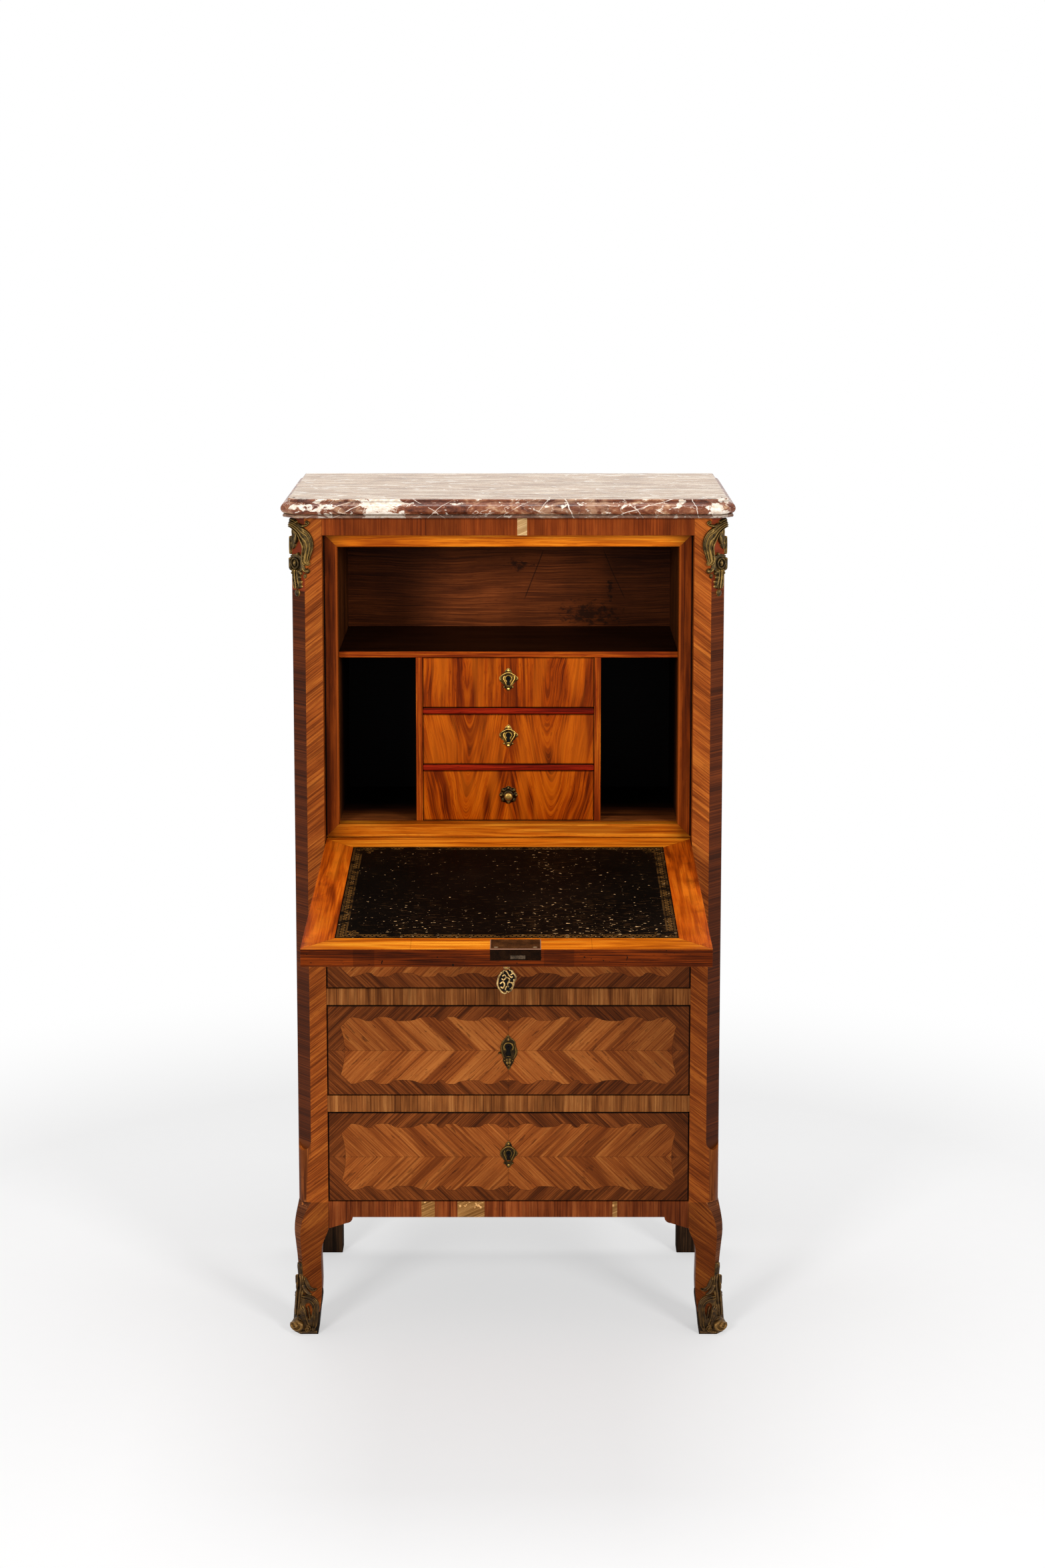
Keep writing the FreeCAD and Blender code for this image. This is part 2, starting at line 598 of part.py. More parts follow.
# Front rails. Each rail over a lock has a mortise for its bolt.
def mortised(name, blank, width, thick, y, z, depth):
    tool = span(name + "_mortise", width + " / 2 + mortise_spare", y + " - mortise_spare", z,
                thick + " + 2 * mortise_spare", depth)
    return cut(name, blank, tool)


bolt_y = "(drawer_front - lock_depth + bolt_back)"
small_front_y = "(nest_front + small_setback)"
small_bolt_y = "(" + small_front_y + " + small_front - small_lock_depth + small_bolt_back)"
node(cut("frieze", span("frieze_blank", "open_half", "0", "frieze_bottom", "rail_depth",
                        "case_height - frieze_bottom"),
         board("frieze_mortise", "fall_bolt_offset - fall_bolt_width / 2 - mortise_spare",
               "pivot_y - fall_bolt_thickness / 2 - mortise_spare + fall_bolt_back", "frieze_bottom",
               "fall_bolt_width + 2 * mortise_spare", "fall_bolt_thickness + 2 * mortise_spare",
               "fall_bolt_throw + mortise_spare")), "frieze_rail")
node(mortised("rail_fall", span("rail_fall_blank", "open_half", "0", "fall_rail_z", "rail_depth",
                                "fall_rail_height"),
              "bolt_width", "bolt_thickness", bolt_y, "fall_rail_z", "bolt_throw + mortise_spare"), "fall_rail")
rails = []
for name, level in (("rail_low", "bottom_z"), ("rail_high", "middle_z")):
    blank = span(name + "_blank", "open_half", "0", level + " + drawer_opening", "rail_depth", "rail_height")
    rails.append(mortised(name, blank, "bolt_width", "bolt_thickness", bolt_y, level + " + drawer_opening",
                          "bolt_throw + mortise_spare"))
together("drawer_rails", rails)

# Apron: straight between two bracket ends that meet the legs.
apron = new_body("apron_body")
set_forward(apron)
low = "(apron_bottom - bracket_drop)"
apron_edge = outline(apron, "apron_outline", "XZ_Plane", [
    ("-open_half", low),
    ("-open_half + bracket_length - bracket_round", "apron_bottom - bracket_round"),
    ("-open_half + bracket_length", "apron_bottom"),
    ("open_half - bracket_length", "apron_bottom"),
    ("open_half - bracket_length + bracket_round", "apron_bottom - bracket_round"),
    ("open_half", low),
    ("open_half", "bottom_z"),
    ("-open_half", "bottom_z"),
], arcs={1: ("bracket_round", True), 3: ("bracket_round", True)})
pad(apron, apron_edge, "apron_thickness", back=True)
node(apron, "apron")

# Stop frame: four mitred strips that the shut fall closes against.
sill = "(nest_floor_z - frame_sill)"
head = "head_z"
strips = []
for name, corners in (
    ("sill", [("-open_half", sill), ("open_half", sill), ("nest_half", "nest_floor_z"),
              ("-nest_half", "nest_floor_z")]),
    ("head", [("-open_half", "frieze_bottom"), ("-nest_half", head), ("nest_half", head),
              ("open_half", "frieze_bottom")]),
    ("left", [("-open_half", sill), ("-nest_half", "nest_floor_z"), ("-nest_half", head),
              ("-open_half", "frieze_bottom")]),
    ("right", [("open_half", sill), ("open_half", "frieze_bottom"), ("nest_half", head),
               ("nest_half", "nest_floor_z")]),
):
    strip = new_body("frame_" + name)
    bind(strip, "Placement.Base.y", "front_y + frame_y")
    pad(strip, outline(strip, "frame_%s_outline" % name, "XZ_Plane", corners), "frame_depth", back=True)
    strips.append(strip)
together("stop_frame", strips)

# Nest: walls, back, floor, shelf, dividers and the boards between the small drawers.
together("nest_walls", [
    board("wall_left", "-nest_half - nest_wall", "nest_y", "nest_floor_z", "nest_wall", "nest_back_y - nest_y",
          "top_z - nest_floor_z"),
    board("wall_right", "nest_half", "nest_y", "nest_floor_z", "nest_wall", "nest_back_y - nest_y",
          "top_z - nest_floor_z"),
])
node(span("nest_rear", "nest_half + nest_wall", "nest_back_y", "nest_floor_z", "nest_wall",
          "top_z - nest_floor_z"), "nest_back")
node(span("nest_base", "side_inner", "nest_y", "nest_floor_z - nest_floor_thickness", "rear_y - nest_y",
          "nest_floor_thickness"), "nest_floor")
shelf_blank = span("shelf_blank", "nest_half", "nest_front", "shelf_z", "nest_back_y - nest_front",
                   "shelf_thickness")
node(mortised("shelf", shelf_blank, "small_bolt_width", "small_bolt_thickness", small_bolt_y, "shelf_z",
              "small_bolt_throw + mortise_spare"), "nest_shelf")
together("nest_dividers", [
    board("divider_left", "-small_half - divider_thickness", "nest_front", "nest_floor_z", "divider_thickness",
          "nest_back_y - nest_front", "shelf_z - nest_floor_z"),
    board("divider_right", "small_half", "nest_front", "nest_floor_z", "divider_thickness",
          "nest_back_y - nest_front", "shelf_z - nest_floor_z"),
])
blade_low = span("blade_low", "small_half", "nest_front", "middle_small_z - blade_thickness",
                 "nest_back_y - nest_front", "blade_thickness")
blade_high = span("blade_high", "small_half", "nest_front", "upper_small_z - blade_thickness",
                  "nest_back_y - nest_front", "blade_thickness")
together("nest_blades", [
    blade_low,
    mortised("blade_mortised", blade_high, "small_bolt_width", "small_bolt_thickness", small_bolt_y,
             "upper_small_z - blade_thickness", "small_bolt_throw + mortise_spare"),
])

# Stop rail under the nest's floor: the fall's tail swings up against it.
stop_z = "(pivot_z + tail_lift + stop_gap)"
node(span("tail_stop", "side_inner", "nest_y", stop_z, "stop_depth",
          "nest_floor_z - nest_floor_thickness - " + stop_z), "fall_stop")

# Pivot pins: each sits in a post and turns in the socket at the fall's edge.
pins = []
for name, x in (("left", "-open_half - pin_in_post"), ("right", "open_half - pin_in_fall")):
    pin = doc.addObject("Part::Cylinder", "pin_" + name)
    pin.Placement = FreeCAD.Placement(V(0, 0, 0), ALONG_X)
    bind(pin, "Radius", "pin_radius")
    bind(pin, "Height", "pin_in_post + pin_in_fall")
    bind(pin, "Placement.Base.x", x)
    bind(pin, "Placement.Base.y", "front_y + pivot_y")
    bind(pin, "Placement.Base.z", "pivot_z")
    pins.append(pin)
together("pivot_pins", pins)


def hang(obj):
    """Hang a piece of the fall, drawn shut about its pivots, in the open position."""
    obj.Placement = FreeCAD.Placement(V(0, 0, 0), FreeCAD.Rotation(V(1, 0, 0), 90))
    bind(obj, "Placement.Base.y", "front_y + pivot_y")
    bind(obj, "Placement.Base.z", "pivot_z")
    bind(obj, "Placement.Rotation.Angle", "(90 + fall_sag) * 1 deg")


# Fall: a panel with recesses for the leather, the lock and the pivot sockets.
panel = new_body("fall_body")
block(panel, "fall_blank", "-fall_half", "-fall_half_thickness", "-fall_tail", "2 * fall_half", "fall_thickness",
      "fall_reach + fall_tail")
block(panel, "leather_recess", "-leather_width / 2 - leather_gap", "fall_half_thickness - leather_thickness",
      "leather_start - leather_gap", "leather_width + 2 * leather_gap", "leather_thickness",
      "leather_length + 2 * leather_gap", remove=True)
block(panel, "lock_recess", "-fall_lock_left + fall_plate_rim", "fall_half_thickness - fall_lock_case",
      "fall_reach - fall_lock_depth + fall_plate_rim", "fall_lock_width - 2 * fall_plate_rim", "fall_lock_case",
      "fall_lock_depth - fall_plate_rim", remove=True)
block(panel, "lock_face_recess", "-fall_lock_left", "fall_half_thickness - fall_plate",
      "fall_reach - fall_lock_depth", "fall_lock_width", "fall_plate", "fall_lock_depth", remove=True)
block(panel, "lock_edge_recess", "-fall_lock_left", "fall_half_thickness - fall_lock_case - lock_wall",
      "fall_reach - fall_plate", "fall_lock_width", "fall_lock_case + lock_wall", "fall_plate", remove=True)
rod(panel, "fall_keyhole", "0", "-fall_half_thickness", "key_reach", "key_radius + key_gap", "fall_thickness",
    ALONG_Y, remove=True)
rod(panel, "socket_bore_left", "-fall_half", "0", "0", "socket_radius + pin_clearance", "socket_length", ALONG_X,
    remove=True)
rod(panel, "socket_bore_right", "fall_half - socket_length", "0", "0", "socket_radius + pin_clearance",
    "socket_length", ALONG_X, remove=True)
hang(panel)
node(panel, "fall_panel")

leather = new_body("leather_body")
block(leather, "leather_skin", "-leather_width / 2", "fall_half_thickness - leather_thickness", "leather_start",
      "leather_width", "leather_thickness", "leather_length")
hang(leather)
node(leather, "writing_leather")

# Fall's lock: a case with a plate on the inside face and one on the edge, a bolt channel and a round key chamber.
lock = new_body("fall_lock_body")
block(lock, "lock_case", "-fall_lock_left + fall_plate_rim", "fall_half_thickness - fall_lock_case",
      "fall_reach - fall_lock_depth + fall_plate_rim", "fall_lock_width - 2 * fall_plate_rim", "fall_lock_case",
      "fall_lock_depth - fall_plate_rim")
block(lock, "lock_face", "-fall_lock_left", "fall_half_thickness - fall_plate", "fall_reach - fall_lock_depth",
      "fall_lock_width", "fall_plate", "fall_lock_depth")
block(lock, "lock_edge", "-fall_lock_left", "fall_half_thickness - fall_lock_case - lock_wall",
      "fall_reach - fall_plate", "fall_lock_width", "fall_lock_case + lock_wall", "fall_plate")
fall_bolt_y = "(fall_bolt_back - fall_bolt_thickness / 2)"
block(lock, "bolt_channel", "fall_bolt_offset - fall_bolt_width / 2 - bolt_gap", fall_bolt_y + " - bolt_gap",
      "fall_reach - fall_bolt_length - lock_wall", "fall_bolt_width + 2 * bolt_gap",
      "fall_bolt_thickness + 2 * bolt_gap", "fall_bolt_length + 2 * lock_wall", remove=True)
chamber_y = "(" + fall_bolt_y + " + fall_bolt_thickness + lock_wall)"
rod(lock, "key_chamber", "0", chamber_y, "key_reach", "key_bit_length + lock_wall", "key_bit_width + lock_wall", ALONG_Y,
    remove=True)
rod(lock, "lock_keyhole", "0", "-fall_half_thickness", "key_reach", "key_radius + key_gap",
    "fall_half_thickness + " + chamber_y, ALONG_Y, remove=True)
hang(lock)
node(lock, "fall_lock")

bolt = new_body("fall_bolt_body")
block(bolt, "bolt_bar", "fall_bolt_offset - fall_bolt_width / 2", fall_bolt_y, "fall_reach - fall_bolt_length",
      "fall_bolt_width", "fall_bolt_thickness", "fall_bolt_length")
hang(bolt)
node(bolt, "fall_bolt")

sockets = []
for name, x in (("left", "-fall_half"), ("right", "fall_half - socket_length")):
    socket = new_body("socket_" + name)
    rod(socket, "socket_bush_" + name, x, "0", "0", "socket_radius", "socket_length", ALONG_X)
    rod(socket, "socket_hole_" + name, x, "0", "0", "pin_radius + pin_clearance", "socket_length", ALONG_X,
        remove=True)
    hang(socket)
    sockets.append(socket)
together("pivot_sockets", sockets)


# Shaped brass plates. Each point of half an outline has the bulge of the side that leaves it, as a share of half a chord.
SHIELD = [(0, 0.5, -0.2), (0.12, 0.4, 0.3), (0.35, 0.3, 0.3), (0.39, 0.18, 0.25), (0.48, 0.05, 0.35),
          (0.4, -0.1, 0.1), (0.28, -0.22, 0.4), (0.26, -0.3, 0.1), (0.12, -0.46, 0.2), (0, -0.5, 0)]
HEART = [(0, 0.5, 0.2), (0.19, 0.34, 0.5), (0.14, 0.26, -0.2), (0.4, 0.17, 0.35), (0.5, 0, 0.3),
         (0.4, -0.13, 0), (0.2, -0.24, -0.2), (0.27, -0.32, 0.7), (0.17, -0.4, 0.2), (0, -0.5, 0)]


def bulged_wire(corners):
    """A closed wire through (x, z, bulge) points; a bulge breaks its side in two, out to the left of the way round."""
    points = []
    for (x, z, bulge), (x_next, z_next, _) in zip(corners, corners[1:] + corners[:1]):
        a, b = V(x, 0, z), V(x_next, 0, z_next)
        points.append(a)
        if bulge:
            points.append((a + b) / 2 + V(-(b.z - a.z), 0, b.x - a.x) * (bulge / 2))
    return Part.makePolygon(points + points[:1])


def both_halves(half, width, height):
    """The points of a whole outline from those of its right half, taken from the top round to the foot."""
    right = [(u * width, w * height, bulge) for u, w, bulge in half]
    left = [(-right[i][0], right[i][1], right[i - 1][2]) for i in range(len(right) - 1, 0, -1)]
    return right[:-1] + left


def plate_shape(half, width, height, thickness, drop, hole, slot):
    """A plate in the XZ plane with a rimmed keyhole at its origin, its back face at Y = 0 and its front towards -Y.

    drop is how far the middle of the plate lies below the keyhole.
    """
    solid = Part.Face(bulged_wire(both_halves(half, width, height))).extrude(V(0, -thickness, 0))
    solid.translate(V(0, 0, -drop))
    rim = Part.makeCylinder(hole * 2, thickness * 1.5, V(0, 0, 0), V(0, -1, 0))
    key = Part.makeCylinder(hole, thickness * 3, V(0, -thickness * 2, 0), V(0, 1, 0))
    if slot:
        key = key.fuse(Part.makeBox(hole, thickness * 3, slot, V(-hole / 2, -thickness * 2, -slot)))
    return solid.fuse(rim).cut(key)


def escutcheon(name, half, width, height, drop, y, z, slot):
    plate = doc.addObject("Part::Feature", name)
    plate.Shape = plate_shape(half, size(width), size(height), size("plate_thickness"), size(drop),
                              size("keyhole_radius"), size(slot))
    plate.Placement = FreeCAD.Placement(V(0, size("front_y + " + y), size(z)), FreeCAD.Rotation())
    return plate


outside = doc.addObject("Part::Feature", "fall_escutcheon_plate")
outside.Shape = plate_shape(SHIELD, size("plate_width"), size("fall_plate_height"), size("plate_thickness"),
                            0, size("key_radius + key_gap"), 0)
tilt = FreeCAD.Rotation(V(1, 0, 0), 90 + size("fall_sag"))
hinge_at = V(0, size("front_y + pivot_y"), size("pivot_z"))
outside.Placement = FreeCAD.Placement(hinge_at, tilt).multiply(
    FreeCAD.Placement(V(0, -size("fall_half_thickness"), size("key_reach")), FreeCAD.Rotation()))
node(outside, "fall_escutcheon")


# Key: stem, bit and collar, and a pierced bow filled with scrolls; it enters the fall from its outer face.
BOW = [(0, 0.5, 0.2), (0.26, 0.42, 0.35), (0.47, 0.2, 0.35), (0.47, -0.12, 0.35), (0.26, -0.38, 0.35), (0, -0.5, 0)]
CURL = [(0.02, -0.1), (0.1, -0.17), (0.26, -0.13), (0.36, 0), (0.26, 0.13), (0.1, 0.17), (0.02, 0.1)]


def key_shape():
    radius = size("key_radius")
    face = -size("fall_half_thickness")
    bow_start = face - size("key_stem")
    inner_end = size(chamber_y) + size("key_bit_width + lock_wall / 2")
    stem = Part.makeCylinder(radius, inner_end - bow_start + 2, V(0, bow_start - 2, 0), V(0, 1, 0))
    bit = Part.makeBox(radius * 0.8, size("key_bit_width"), size("key_bit_length"),
                       V(-radius * 0.4, size(chamber_y) + size("lock_wall / 2"), 0))
    collar = Part.makeCylinder(size("key_collar"), size("key_collar"), V(0, bow_start, 0), V(0, 1, 0))
    wide, tall, bar = size("key_bow_width"), size("key_bow_length"), size("key_bow_bar")
    deep = V(0, bar, 0)
    bow = Part.Face(bulged_wire(both_halves(BOW, wide, tall))).extrude(deep)
    bow = bow.cut(Part.Face(bulged_wire(both_halves(BOW, wide - 2 * bar, tall - 2 * bar))).extrude(deep))
    for side in (1, -1):
        for share in (0.2, -0.2):
            outer = [(side * wide * u, tall * (share + w), 0) for u, w in CURL]
            inner = [(side * (wide * u * 0.5 + wide * 0.08), tall * (share + w * 0.5), 0) for u, w in CURL]
            curl = Part.Face(bulged_wire(outer)).extrude(deep).cut(Part.Face(bulged_wire(inner)).extrude(deep))
            bow = bow.fuse(curl)
    bow = bow.fuse(Part.makeBox(bar, bar, tall - bar, V(-bar / 2, 0, -(tall - bar) / 2)))
    bow.translate(V(0, -bar / 2, 0))
    bow.rotate(V(0, 0, 0), V(1, 0, 0), 90)
    bow.translate(V(0, bow_start - tall / 2, 0))
    return stem.multiFuse([bit, collar, bow]).removeSplitter()


key = doc.addObject("Part::Feature", "key_piece")
key.Shape = key_shape()
key.Placement = FreeCAD.Placement(hinge_at, tilt).multiply(
    FreeCAD.Placement(V(0, 0, size("key_reach")), FreeCAD.Rotation()))
node(key, "key")

# Large drawers: each has a front let out for its lock, sides, a back and a bottom.
for tag, level, plate in (
    ("top", "upper_z", (SHIELD, "plate_width", "plate_height", "plate_drop")),
    ("middle", "middle_z", (SHIELD, "plate_width", "plate_height", "plate_drop")),
    ("bottom", "bottom_z", (HEART, "heart_width", "heart_height", "heart_drop")),
):
    crown = "(" + level + " + drawer_opening - drawer_gap)"
    lock_z = "(" + level + " + keyhole_height - lock_drop)"
    half = "(open_half - drawer_gap)"
    face = new_body(tag + "_face")
    set_forward(face)
    block(face, tag + "_face_board", "-" + half, "0", level + " + drawer_gap", "2 * " + half, "drawer_front",
          "drawer_opening - 2 * drawer_gap")
    block(face, tag + "_lock_recess", "-lock_width / 2", "drawer_front - lock_depth", lock_z, "lock_width",
          "lock_depth", crown + " - " + lock_z, remove=True)
    rod(face, tag + "_keyhole", "0", "0", level + " + keyhole_height", "keyhole_radius",
        "drawer_front - lock_depth", ALONG_Y, remove=True)
    node(face, tag + "_drawer_front")
    back_y = "(rear_y - drawer_rear_gap)"
    base = "(" + level + " + slide_gap)"
    walls = [
        board(tag + "_side_left", "-" + half, "drawer_front", base, "drawer_wall", back_y + " - drawer_front",
              "drawer_side"),
        board(tag + "_side_right", half + " - drawer_wall", "drawer_front", base, "drawer_wall",
              back_y + " - drawer_front", "drawer_side"),
        span(tag + "_back_board", half + " - drawer_wall", back_y + " - drawer_wall",
             base + " + drawer_bottom_lift", "drawer_wall", "drawer_side - drawer_bottom_lift"),
        span(tag + "_bottom_board", half + " - drawer_wall", "drawer_front", base + " + drawer_bottom_lift",
             back_y + " - drawer_wall - drawer_front", "drawer_bottom"),
    ]
    together(tag + "_drawer_box", walls)
    case = new_body(tag + "_lock_body")
    set_forward(case)
    block(case, tag + "_lock_case", "-lock_width / 2", "drawer_front - lock_depth", lock_z, "lock_width",
          "lock_depth", crown + " - " + lock_z)
    block(case, tag + "_bolt_channel", "-bolt_width / 2 - bolt_gap", bolt_y + " - bolt_gap",
          crown + " - bolt_length - lock_wall", "bolt_width + 2 * bolt_gap", "bolt_thickness + 2 * bolt_gap",
          "bolt_length + 2 * lock_wall", remove=True)
    node(case, tag + "_drawer_lock")
    node(span(tag + "_bolt_bar", "bolt_width / 2", bolt_y, crown + " - bolt_length", "bolt_thickness",
              "bolt_length"), tag + "_drawer_bolt")
    node(escutcheon(tag + "_plate", plate[0], plate[1], plate[2], plate[3], "0",
                    level + " + keyhole_height", "keyhole_slot"), tag + "_drawer_escutcheon")

# Small drawers in the nest. The upper two lock; the lowest has a knob.
for tag, level, locks in (("upper", "upper_small_z", True), ("middle", "middle_small_z", True),
                          ("lower", "lower_small_z", False)):
    crown = "(" + level + " + small_opening - small_gap)"
    half = "(small_half - small_gap)"
    lock_z = "(" + level + " + small_keyhole_height - small_lock_drop)"
    face = new_body("small_%s_face" % tag)
    set_forward(face)
    block(face, "small_%s_board" % tag, "-" + half, small_front_y, level + " + small_gap", "2 * " + half,
          "small_front", "small_opening - 2 * small_gap")
    if locks:
        block(face, "small_%s_recess" % tag, "-small_lock_width / 2",
              small_front_y + " + small_front - small_lock_depth", lock_z, "small_lock_width", "small_lock_depth",
              crown + " - " + lock_z, remove=True)
        rod(face, "small_%s_keyhole" % tag, "0", small_front_y, level + " + small_keyhole_height",
            "keyhole_radius", "small_front - small_lock_depth", ALONG_Y, remove=True)
    node(face, "nest_%s_drawer_front" % tag)
    back_y = "(nest_back_y - small_rear_gap)"
    box_y = "(" + small_front_y + " + small_front)"
    base = "(" + level + " + slide_gap)"
    walls = [
        board("small_%s_left" % tag, "-" + half, box_y, base, "small_wall", back_y + " - " + box_y, "small_side"),
        board("small_%s_right" % tag, half + " - small_wall", box_y, base, "small_wall", back_y + " - " + box_y,
              "small_side"),
        span("small_%s_rear" % tag, half + " - small_wall", back_y + " - small_wall", base + " + small_bottom",
             "small_wall", "small_side - small_bottom"),
        span("small_%s_base" % tag, half + " - small_wall", box_y, base + " + small_bottom",
             back_y + " - small_wall - " + box_y, "small_bottom"),
    ]
    together("nest_%s_drawer_box" % tag, walls)
    if locks:
        case = new_body("small_%s_lock" % tag)
        set_forward(case)
        block(case, "small_%s_case" % tag, "-small_lock_width / 2",
              small_front_y + " + small_front - small_lock_depth", lock_z, "small_lock_width", "small_lock_depth",
              crown + " - " + lock_z)
        block(case, "small_%s_channel" % tag, "-small_bolt_width / 2 - bolt_gap", small_bolt_y + " - bolt_gap",
              crown + " - small_bolt_length - lock_wall", "small_bolt_width + 2 * bolt_gap",
              "small_bolt_thickness + 2 * bolt_gap", "small_bolt_length + 2 * lock_wall", remove=True)
        plate = escutcheon("small_%s_plate" % tag, HEART, "small_plate_width", "small_plate_height",
                           "small_plate_drop", small_front_y, level + " + small_keyhole_height",
                           "small_keyhole_slot")
        together("nest_%s_drawer_lock" % tag, [case, plate])
        node(span("small_%s_bolt" % tag, "small_bolt_width / 2", small_bolt_y, crown + " - small_bolt_length",
                  "small_bolt_thickness", "small_bolt_length"), "nest_%s_drawer_bolt" % tag)

# Knob: a turned button on a rosette with eight petals.
PETALS = 8


def knob_shape():
    radius, length = size("knob_radius"), size("knob_length")
    points = []
    for k in range(2 * PETALS):
        reach = radius if k % 2 == 0 else radius * 0.8
        angle = math.pi * k / PETALS
        points.append(V(reach * math.sin(angle), 0, reach * math.cos(angle)))
    front = V(0, -1, 0)
    rosette = Part.Face(Part.makePolygon(points + points[:1])).extrude(front * (length * 0.2))
    neck = Part.makeCylinder(radius * 0.28, length * 0.7, V(0, 0, 0), front)
    button = Part.makeCone(radius * 0.46, radius * 0.3, length * 0.3, front * (length * 0.7), front)
    return rosette.multiFuse([neck, button]).removeSplitter()


knob = doc.addObject("Part::Feature", "knob_piece")
knob.Shape = knob_shape()
knob.Placement = FreeCAD.Placement(V(0, size("front_y + " + small_front_y), size("lower_small_z + knob_height")),
                                   FreeCAD.Rotation())
node(knob, "nest_lower_drawer_knob")
doc.recompute()


# Corner mounts: a pierced bronze scroll with a hanging drop, bent round the top of each cant.
# Points are shares of the mount's width across the cant and of its height, with the bulge of the arc that follows.
SCROLL = [(-0.42, 0, 0.1), (0.05, -0.01, -0.3), (0.3, -0.05, 0.9), (0.46, -0.07, 0.1), (0.53, -0.2, 0.15),
          (0.47, -0.5, 0.1), (0.47, -0.6, 0.9), (0.38, -0.66, 0.1), (0.33, -0.72, 0.2), (0.18, -0.57, -0.3),
          (0.07, -0.65, 0.2), (0.2, -0.85, 0.4), (0.03, -0.88, 0.1), (-0.08, -1, 0.1), (-0.22, -0.87, 0.3),
          (-0.42, -0.84, 0.3), (-0.33, -0.65, 0.4), (-0.45, -0.55, 0.3), (-0.4, -0.45, 0.2), (-0.48, -0.3, 0.2),
          (-0.44, -0.14, 0.2)]
OPENING = [(-0.05, -0.19, 0.2), (0.13, -0.23, 0.2), (0.16, -0.36, 0.1), (0.11, -0.44, 0.1), (-0.24, -0.44, 0.2),
           (-0.22, -0.36, -0.2)]


def mount_shape():
    tall, wide, relief = size("mount_height"), size("mount_width"), size("mount_relief")
    cant, half, deep = size("cant_size"), size("half_width"), size("post_width")
    top = size("case_height - mount_drop")

    def prism(shares):
        outline_face = Part.Face(bulged_wire([(u * wide, w * tall, bulge) for u, w, bulge in shares]))
        solid = outline_face.extrude(V(0, 2 * deep, 0))
        solid.translate(V(0, -deep, 0))
        solid.rotate(V(0, 0, 0), V(0, 0, 1), -45)
        solid.translate(V(-half + cant / 2, cant / 2, top))
        return solid

    chop = cant + 0.5857864 * relief
    ring = [V(-half - relief, 1.5 * deep, 0), V(-half - relief, -relief + chop, 0),
            V(-half - relief + chop, -relief, 0), V(-half + 1.5 * deep, -relief, 0)]
    coat = Part.Face(Part.makePolygon(ring + ring[:1])).extrude(V(0, 0, tall * 1.2))
    coat.translate(V(0, 0, top - tall * 1.1))
    base = post.Shape.copy()
    base.translate(V(0, -size("front_y"), 0))
    solid = prism(SCROLL).cut(prism(OPENING)).common(coat).cut(base)
    return max(solid.Solids, key=lambda part: part.Volume)


mounts = []
for name, flip in (("left", False), ("right", True)):
    mount = doc.addObject("Part::Feature", "mount_" + name)
    mount.Shape = mount_shape().mirror(V(0, 0, 0), V(1, 0, 0)) if flip else mount_shape()
    mount.Placement = FreeCAD.Placement(V(0, size("front_y"), 0), FreeCAD.Rotation())
    mounts.append(mount)
together("corner_mounts", mounts)

# Sabots: a bronze shoe round each front foot, with a leaf up the corner and a scrolled toe.
def part_way(name, low, high, share):
    return "(%s + (%s - %s) * %s)" % (low, high, low, share)


sleeve_rings = []
for i, (height, share) in enumerate((("0", "0"), ("sabot_height / 2", "0.35"), ("sabot_height", "0.65"))):
    corners = leg_corners(part_way("out", "foot_bulge", "shin_bulge", share),
                          part_way("in", "foot_inset", "shin_inset", share),
                          part_way("cant", "foot_cant", "shin_cant", share), wall="sabot_wall")
    sleeve_rings.append(outline(None, "sleeve_ring_%d" % i, None, corners, offset=height))
sleeve = doc.addObject("Part::Loft", "sleeve")
sleeve.Sections = sleeve_rings
sleeve.Solid = True
leaf_rings = []
for i, (height, out, cant, reach) in enumerate((
    ("sabot_height * 0.6", "shin_bulge + (foot_bulge - shin_bulge) * 0.4", "shin_cant", "leaf_reach"),
    ("(sabot_height + sabot_leaf) / 2", "shin_bulge", "shin_cant", "leaf_reach * 0.8"),
    ("sabot_leaf", "ankle_bulge", "ankle_cant", "leaf_reach * 2 / 3"),
)):
    grow = "(%s + sabot_wall)" % out
    chop = "(%s + 0.5857864 * sabot_wall)" % cant
    leaf_rings.append(outline(None, "leaf_ring_%d" % i, None, [
        ("-half_width - " + grow, "-" + grow + " + " + chop),
        ("-half_width - %s + %s" % (grow, chop), "-" + grow),
        ("-half_width - %s + %s" % (grow, reach), "-" + grow),
        ("-half_width - %s + %s" % (grow, reach), "-%s + sabot_seat" % grow),
        ("-half_width - %s + sabot_seat" % grow, "-%s + %s" % (grow, reach)),
        ("-half_width - " + grow, "-%s + %s" % (grow, reach)),
    ], offset=height))
leaf = doc.addObject("Part::Loft", "leaf")
leaf.Sections = leaf_rings
leaf.Solid = True
toe = doc.addObject("Part::Cylinder", "toe")
toe.Placement = FreeCAD.Placement(
    V(0, 0, 0), FreeCAD.Rotation(V(0, 0, 1), -45).multiply(FreeCAD.Rotation(V(0, 1, 0), 90)))
bind(toe, "Radius", "toe_radius")
bind(toe, "Height", "toe_length")
bind(toe, "Placement.Base.x", "-half_width - foot_bulge + toe_back - toe_length * 0.3535534")
bind(toe, "Placement.Base.y", "front_y - foot_bulge + toe_back + toe_length * 0.3535534")
bind(toe, "Placement.Base.z", "toe_radius")
eyes = []
